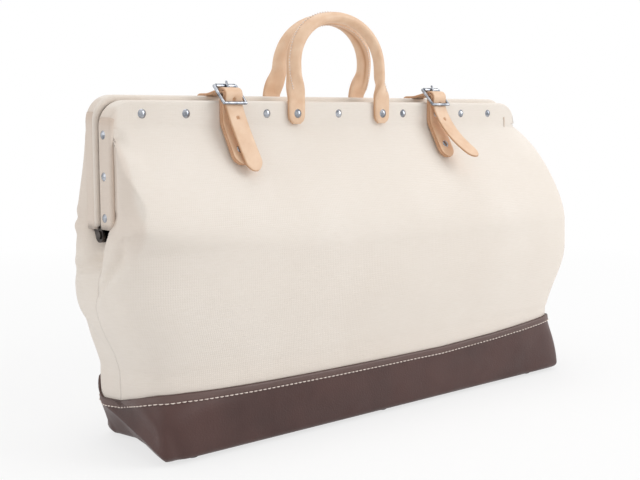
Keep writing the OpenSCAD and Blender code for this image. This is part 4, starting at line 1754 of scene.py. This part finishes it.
    def stitches(self, name: str) -> bpy.types.Object:
        """The seam's stitches, up one leg and over the arch.

        Args:
            name: the piece's name.
        Returns:
            The piece.
        """
        line, near = self.line()
        fine = resample(np.column_stack([line, near]), self.stitch_count)
        way, inward = unit(np.gradient(fine[:, :2], axis=0)), self.inward(fine[:, :2])
        starts, ways, outs = [], [], []
        for k in range(2, len(fine) - 2):
            if fine[k, 2] < self.root_h * 0.3:
                continue
            n, o, _ = self.section(k / (len(fine) - 1), fine[k, 2], self.seam_at - self.stitch_at)
            starts.append((fine[k, 0] + inward[k, 0] * n, o, fine[k, 1] + inward[k, 1] * n))
            ways.append((way[k, 0], 0, way[k, 1]))
            outs.append((inward[k, 0] * n, o, inward[k, 1] * n))
        p0 = self.place(np.array(starts))
        p1 = self.place(np.array(starts) + np.array(ways))
        p2 = self.place(np.array(starts) + np.array(outs))
        return seam_row(name, p0, unit(p1 - p0), unit(p2 - p0), self.stitch_len, self.stitch_d)


# Straps


@dataclass
class StrapLeather:
    """A strip of strap leather that follows a path, with rounded edges and a shaped tip."""

    width: float = 20.0
    thick: float = 2.5
    edge_r: float = 0.8

    def strip(
        self,
        name: str,
        path: Array,
        widths: Array,
        shift: Array,
        stuff: Stuff,
        holes: Sequence[tuple[float, float]] = (),
    ) -> bpy.types.Object:
        """Sweeps the strip's section along a path seen from its edge.

        Args:
            name: the piece's name.
            path: rows of (x, y, z), the strip's middle line.
            widths: half width at each point.
            shift: the strip's sideways direction at each point, one row each.
            stuff: its leather.
            holes: where along the strip each punched hole lies, and its radius.
        Returns:
            The piece.
        """
        way = unit(np.gradient(path, axis=0))
        side = unit(shift - way * np.sum(shift * way, axis=1, keepdims=True))
        up = unit(np.cross(side, way))
        across = np.concatenate([[-1.0, -0.98, -0.9], np.linspace(-0.75, 0.75, 13), [0.9, 0.98, 1.0]])
        points, tones = [], []
        run = distance(path)
        for k in range(len(path)):
            w = widths[k]
            for sign in (1, -1):
                for a in across[::sign]:
                    flank = 1.0
                    if w > self.edge_r:
                        flank = max(0.0, abs(a) * w - (w - self.edge_r)) / self.edge_r
                    t = self.thick / 2 * math.sqrt(max(0.0, 1 - 0.85 * flank**2))
                    dent = 0.0
                    for at, size in holes:
                        d2 = (run[k] - at) ** 2 + (a * w) ** 2
                        dent = max(dent, 1.0 if d2 < size * size else 0.0)
                    points.append(path[k] + side[k] * a * w + up[k] * sign * t * (1 - 0.6 * dent))
                    tones.append(max(0.8 * flank**2, 0.95 * dent))
        faces = tube_faces(len(path), 2 * len(across))
        return outward(piece(name, np.array(points), faces, stuff.material(), None, np.array(tones)))


def tip(run: Array, total: float, half: float, start: bool = False) -> Array:
    """Half widths of a strip whose end is rounded.

    Args:
        run: distance along the strip of each point.
        total: its length.
        half: its half width.
        start: whether the first end is rounded too.
    Returns:
        A half width for each point.
    """
    left = np.clip((total - run) / half, 0, 1)
    share = np.clip(1 - (1 - left) ** 1.8, 0.0004, 1) ** 0.62
    if start:
        other = np.clip(run / half, 0, 1)
        share = share * np.sqrt(np.clip(1 - (1 - other) ** 2, 0.0004, 1))
    return half * share


def smooth_path(points: Array, step: float = 1.2, rounds: int = 14) -> Array:
    """Evenly spaced points along a line whose bends are eased.

    Args:
        points: rows of (x, y, z).
        step: distance between the new points.
        rounds: how often the bends are eased.
    Returns:
        The new rows.
    """
    line = resample(points, int(distance(points)[-1] / step) + 2)
    for _ in range(rounds):
        line[1:-1] = 0.5 * line[1:-1] + 0.25 * (line[:-2] + line[2:])
    return resample(line, len(line))


@dataclass
class ClosingStrap:
    """A chape with its loop round the buckle, and the billet that the buckle holds."""

    side: str
    x: float
    front: FrameHalf
    rear: FrameHalf
    leather: StrapLeather = field(default_factory=StrapLeather)
    lift: float = 6.0
    drape: float = 30.0
    hang: float = 22.0
    wire: float = 3.2
    thick: float = 2.6
    keeper: float = 11.2
    roller: float = 11.8
    chape_l: float = 46.0
    billet_drop: float = 68.0
    gap: float = 0.3
    ply_gap: float = 0.1
    over_hem: float = 3.0
    # The billet is pressed into the chape's loop a little, and runs under the roller
    pressed: float = 1.3
    roller_r: float = 2.4
    lean: float = 45.0
    rivet_drop: float = 12.0
    root_l: float = 9.0
    hole_r: float = 2.0
    hole_at: tuple[float, float] = (14.0, -4.8)
    step: float = 1.1

    @property
    def loop(self) -> float:
        """Radius of the chape's middle line round the buckle's middle bar."""
        return self.wire / 2 + self.gap + self.thick / 2

    def bar(self) -> Array:
        """The buckle's middle bar as (y, z)."""
        back = self.front.face_y + self.gap + self.loop + self.thick / 2
        return np.array([-back, self.front.top + self.lift])

    def side_on(self, path: Array) -> Array:
        """The strip's sideways direction, along the bag, for each point of its path."""
        return np.tile([1.0, 0.0, 0.0], (len(path), 1))

    def chape(self) -> bpy.types.Object:
        """The chape: two plies down the front and a loop round the middle bar.

        Returns:
            The piece.
        """
        b, loop = self.bar(), self.loop
        inner_y = b[0] + loop
        bend_z = self.front.top - self.front.face + self.over_hem
        a = math.radians(self.drape)
        down = np.array([-math.sin(a), -math.cos(a)])
        out = np.array([-math.cos(a), math.sin(a)])
        tail_in = [np.array([inner_y, bend_z]) + down * s for s in np.linspace(self.chape_l, 0, 12)]
        arc = [b + loop * np.array([math.cos(t), math.sin(t)]) for t in np.radians(range(0, 215, 12))]
        outer_y = inner_y - self.thick - self.ply_gap
        bend = np.array([outer_y, bend_z])
        tail_out = [bend + out * 0.7 + down * s for s in np.linspace(1.5, self.chape_l, 12)]
        up, back = np.array([inner_y, b[1] - 3]), np.array([outer_y, b[1] - 6])
        path = [*tail_in, up, *arc, back, *tail_out]
        line = smooth_path(np.array([(self.x, p[0], p[1]) for p in path]), self.step, 10)
        run = distance(line)
        widths = tip(run, run[-1], self.leather.width / 2, start=True)
        name = f"{self.side}_chape_leather"
        return self.leather.strip(name, line, widths, self.side_on(line), Stuff.chape_leather)

    def billet(self, curl: float, turn: float) -> bpy.types.Object:
        """The billet: from its rear rivet over the mouth, through the buckle and down.

        Args:
            curl: how far its free end bends away from the bag, in millimetres.
            turn: how far its free end swings away from the middle, in millimetres.
        Returns:
            The piece.
        """
        b, r = self.bar(), self.rear
        lay = self.gap + self.thick / 2
        lean = math.radians(self.lean)
        along = np.array([math.sin(lean), math.cos(lean)])
        normal = np.array([-math.cos(lean), math.sin(lean)])
        over = self.wire / 2 + 2 * self.gap + 2 * self.thick - self.pressed
        under = self.roller_r + lay
        tuck = self.wire / 2 + lay
        climb = math.asin((under + over) / self.roller)
        dive = math.asin((tuck + over) / self.keeper)
        root_z = r.top - self.rivet_drop - self.root_l
        edge, quarter = np.array([r.face_y, r.top]), np.radians([0, 30, 60, 90])
        path = [np.array([r.face_y + lay, z]) for z in np.linspace(root_z, r.top - 1, 8)]
        path += [edge + lay * np.array([math.cos(t), math.sin(t)]) for t in quarter]
        path += [np.array([0, r.top + lay])]
        path += [b + along * (self.roller - under * math.sin(climb)) + normal * -under * math.cos(climb)]
        first, last = math.pi / 2 + lean - climb, math.pi / 2 + lean + dive
        path += [b + over * np.array([math.cos(t), math.sin(t)]) for t in np.linspace(first, last, 9)]
        hub = b - along * self.keeper
        h = math.radians(self.hang)
        falls = np.linspace(last - math.pi, -h, 5)
        path += [hub + tuck * np.array([math.cos(t), math.sin(t)]) for t in falls]
        start = path[-1]
        down = np.array([-math.sin(h), -math.cos(h)])
        out = np.array([-math.cos(h), math.sin(h)])
        free = np.linspace(2, self.billet_drop, 26)
        tail = [start + down * s + out * curl * (s / self.billet_drop) ** 2.2 for s in free]
        line = smooth_path(np.array([(self.x, p[0], p[1]) for p in path + tail]), self.step, 6)
        run = distance(line)
        begin = run[-1] - self.billet_drop
        v = np.clip((run - begin) / self.billet_drop, 0, 1)
        line[:, 0] += turn * v**1.6
        widths = tip(run, run[-1], self.leather.width / 2, start=True)
        holes = [(begin + at, self.hole_r) for at in self.hole_at]
        name = f"{self.side}_billet_leather"
        return self.leather.strip(name, line, widths, self.side_on(line), Stuff.leather, holes)


# Carried-over hardware


@dataclass(frozen=True)
class Hardware:
    """Rigid nodes whose shape stays, each with its finish."""

    finishes: tuple[tuple[Stuff, tuple[str, ...]], ...] = (
        (
            Stuff.nickel,
            (
                "front_rivets", "rear_rivets", "chape_rivets", "left_buckle", "right_buckle",
                "left_roller", "right_roller", "left_prong", "right_prong",
            ),
        ),
        (Stuff.frame_steel, ("front_rail", "rear_rail")),
        (Stuff.dark_steel, ("front_lugs", "rear_lugs", "hinge_pins")),
        (Stuff.zinc, ("foot_washers",)),
        (Stuff.black, ("feet",)),
        (Stuff.board, ("base_board",)),
    )

    def dress(self, nodes: dict[str, bpy.types.Object]) -> int:
        """Puts each finish on its nodes.

        Args:
            nodes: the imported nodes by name.
        Returns:
            How many nodes were dressed.
        """
        done = 0
        for stuff, names in self.finishes:
            for name in names:
                for place in nodes[name].material_slots:
                    place.link = "OBJECT"
                    place.material = stuff.material()
                done += 1
        return done


# Studio


@dataclass(frozen=True)
class Lamp:
    """One soft square lamp: where it hangs, the height it points at, its side and its watts."""

    name: str
    place: tuple[float, float, float]
    aim_z: float
    size: float
    power: float

    def build(self) -> None:
        """Hangs the lamp."""
        data = bpy.data.lights.new(self.name, "AREA")
        data.shape, data.size, data.energy = "SQUARE", self.size, self.power
        lamp = bpy.data.objects.new(self.name, data)
        lamp.location = self.place
        aim = Vector((0.0, 0.0, self.aim_z)) - Vector(self.place)
        lamp.rotation_euler = aim.to_track_quat("-Z", "Y").to_euler()
        bpy.context.scene.collection.objects.link(lamp)


@dataclass(frozen=True)
class Studio:
    """Pale floor, soft lamps and the camera at the photograph's place, in metres."""

    eye: tuple[float, float, float] = (-0.787, -0.864, 0.317)
    heading: float = 41.0
    pitch: float = 6.79
    lens: float = 60.2
    sensor: float = 36.0
    ambient: float = 0.66
    pale: float = 0.86
    # The floor keeps a soft shadow near the bag and is plain white farther off, so that no
    # horizon shows
    near_glow: float = 0.72
    near: float = 0.45
    far: float = 1.5
    floor_half: float = 9.0
    lamps: tuple[Lamp, ...] = (
        Lamp("key", (1.5, -1.6, 1.3), 0.15, 1.4, 22.0),
        Lamp("fill", (-2.0, 0.1, 1.1), 0.2, 1.6, 7.0),
        Lamp("above", (0.1, 0.3, 2.2), 0.2, 1.8, 12.0),
    )

    def camera(self) -> None:
        """Places the camera."""
        data = bpy.data.cameras.new("view")
        data.lens, data.sensor_width = self.lens, self.sensor
        data.clip_start, data.clip_end = 0.05, 60.0
        eye = bpy.data.objects.new("view", data)
        eye.location = self.eye
        eye.rotation_euler = (math.radians(90 - self.pitch), 0.0, math.radians(-self.heading))
        bpy.context.scene.collection.objects.link(eye)
        bpy.context.scene.camera = eye

    def seen(self, tree: bpy.types.NodeTree) -> bpy.types.NodeSocket:
        """Tells the rays that show the background from those that light the bag.

        Args:
            tree: the node tree to add to.
        Returns:
            One for a ray of the camera, of a reflection or through glass, and nought for another.
        """
        path = add(tree, "ShaderNodeLightPath").outputs
        mirrored = {0: path["Is Glossy Ray"], 1: path["Is Transmission Ray"]}
        other = add(tree, "ShaderNodeMath", mirrored, operation="MAXIMUM").outputs[0]
        every = {0: path["Is Camera Ray"], 1: other}
        return add(tree, "ShaderNodeMath", every, operation="MAXIMUM").outputs[0]

    def surroundings(self) -> None:
        """White to the eye and in reflections, plain grey light for the rest."""
        world = bpy.data.worlds.new("studio")
        bpy.context.scene.world = world
        world.use_nodes = True
        tree = world.node_tree
        tree.nodes.clear()
        soft = add(tree, "ShaderNodeBackground", {"Color": (1, 1, 1, 1), "Strength": self.ambient})
        white = add(tree, "ShaderNodeBackground", {"Color": (1, 1, 1, 1), "Strength": 1.0})
        seen = self.seen(tree)
        both = add(tree, "ShaderNodeMixShader", {0: seen, 1: soft.outputs[0], 2: white.outputs[0]})
        add(tree, "ShaderNodeOutputWorld", {"Surface": both.outputs[0]})

    def floor(self) -> None:
        """A wide pale floor that keeps a soft shadow."""
        material = bpy.data.materials.new("studio_floor")
        material.use_nodes = True
        tree = material.node_tree
        tree.nodes.clear()
        pale = (self.pale, self.pale, self.pale, 1.0)
        plain = add(tree, "ShaderNodeBsdfDiffuse", {"Color": pale})
        glow = add(tree, "ShaderNodeEmission", {"Color": (1, 1, 1, 1), "Strength": 1.0})
        place = add(tree, "ShaderNodeTexCoord").outputs["Object"]
        reach = add(tree, "ShaderNodeVectorMath", {0: place}, operation="LENGTH")
        far = add(
            tree,
            "ShaderNodeMapRange",
            {"Value": reach.outputs["Value"], 1: self.near, 2: self.far, 3: self.near_glow, 4: 1.0},
        )
        share = add(
            tree,
            "ShaderNodeMath",
            {0: self.seen(tree), 1: far.outputs[0]},
            operation="MULTIPLY",
        )
        mixed = {0: share.outputs[0], 1: plain.outputs[0], 2: glow.outputs[0]}
        both = add(tree, "ShaderNodeMixShader", mixed)
        add(tree, "ShaderNodeOutputMaterial", {"Surface": both.outputs[0]})
        mesh = bpy.data.meshes.new("studio_floor")
        s = self.floor_half
        mesh.from_pydata([(-s, -s, 0), (s, -s, 0), (s, s, 0), (-s, s, 0)], [], [(0, 1, 2, 3)])
        mesh.materials.append(material)
        plane = bpy.data.objects.new("studio_floor", mesh)
        bpy.context.scene.collection.objects.link(plane)

    def build(self) -> None:
        """Sets up camera, floor, surroundings and lamps."""
        self.camera()
        self.surroundings()
        self.floor()
        for lamp in self.lamps:
            lamp.build()
        bpy.context.scene.view_settings.view_transform = "Standard"


# The bag


@dataclass
class ToolBag:
    """The whole bag: it builds each sub-assembly and sets most of its pieces on their bodies."""

    nodes: dict[str, bpy.types.Object]
    form: BodyForm = field(default_factory=BodyForm)
    buckle_x: float = 144.0
    sleeve_drop: float = 14.0

    def set_on(self, obj: bpy.types.Object, body: str, slot: str, *nodes: str) -> None:
        """Hangs a piece on a body and lets it stand for its nodes.

        Args:
            obj: the piece.
            body: the body's name.
            slot: its material slot; not used.
            nodes: the nodes that it replaces.
        """
        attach(obj, body)
        if nodes:
            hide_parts(*nodes)
        LOG.info("%s rides on %s, %d points", obj.name, body, len(obj.data.vertices))

    def build(self) -> None:
        """Makes every piece of the bag."""
        front = FrameHalf.from_node("front_hem", -1)
        rear = FrameHalf.from_node("rear_hem", 1)
        self.canvas(front, rear)
        for obj in Boot(self.form).build():
            slot, *names = {
                "boot_tray": ("boot", "boot"),
                "boot_stitches": ("canvas",),
                "base_board_cut": ("board", "base_board"),
            }[obj.name]
            self.set_on(obj, "bag", slot, *names)
        self.handles(front, rear)
        self.straps(front, rear)
        count = Hardware().dress(self.nodes)
        LOG.info("%d nodes keep their shape", count)

    def canvas(self, front: FrameHalf, rear: FrameHalf) -> None:
        """Builds the canvas of both sides and what is turned round the frame.

        Args:
            front: the frame half on the buckle side.
            rear: the half on the far side.
        """
        for half, word in ((front, "front"), (rear, "rear")):
            side = CanvasSide(self.form, half, Boot(self.form))
            cloth = side.build(f"{word}_panel")
            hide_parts(f"{word}_canvas", *(("canvas_body",) if word == "front" else ()))
            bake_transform(cloth)
            self.set_on(HemCover(half).build(f"{word}_hem_cover"), f"{word}_half", "canvas", f"{word}_hem")
            for end, name in ((-1, "left"), (1, "right")):
                sleeve = LegSleeve(half, end, half.top - self.sleeve_drop).build(f"{word}_{name}_sleeve")
                self.set_on(sleeve, f"{word}_half", "canvas")

    def handles(self, front: FrameHalf, rear: FrameHalf) -> None:
        """Builds both rolled handles with their seams and tabs.

        Args:
            front: the frame half on the buckle side.
            rear: the half on the far side.
        """
        # The leather is flattened by the hand, so its oval turns from leg to leg
        front_handle = Handle(front, 3.0, -2.0, math.radians(122), (49, 0, 20))
        rear_handle = Handle(rear, 7.0, 8.5, math.radians(55), (131, 180, 229))
        for half, word, handle in ((front, "front", front_handle), (rear, "rear", rear_handle)):
            leather = handle.grip(f"{word}_rolled_grip")
            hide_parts(f"{word}_grip", f"{word}_tabs")
            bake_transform(leather)
            self.set_on(handle.stitches(f"{word}_grip_stitches"), f"{word}_handle", "leather")
            self.set_on(handle.core(f"{word}_cord_filling"), f"{word}_handle", "rope", f"{word}_core")

    def straps(self, front: FrameHalf, rear: FrameHalf) -> None:
        """Builds both closing straps.

        Args:
            front: the frame half with the buckles.
            rear: the half that the billets are riveted to.
        """
        for side, sign, curl, turn in (("left", -1, -1.0, 10.0), ("right", 1, 18.0, 20.0)):
            strap = ClosingStrap(side, front.centre + sign * self.buckle_x, front, rear)
            self.set_on(strap.chape(), "front_half", "chape_leather", f"{side}_chape")
            billet = strap.billet(curl, turn)
            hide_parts(f"{side}_billet")
            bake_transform(billet)


def main() -> None:
    """Builds the studio and the bag."""
    logging.basicConfig(level=logging.INFO, format="%(message)s")
    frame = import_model()
    Studio().build()
    ToolBag(frame["nodes"]).build()


if __name__ == "__main__":
    main()
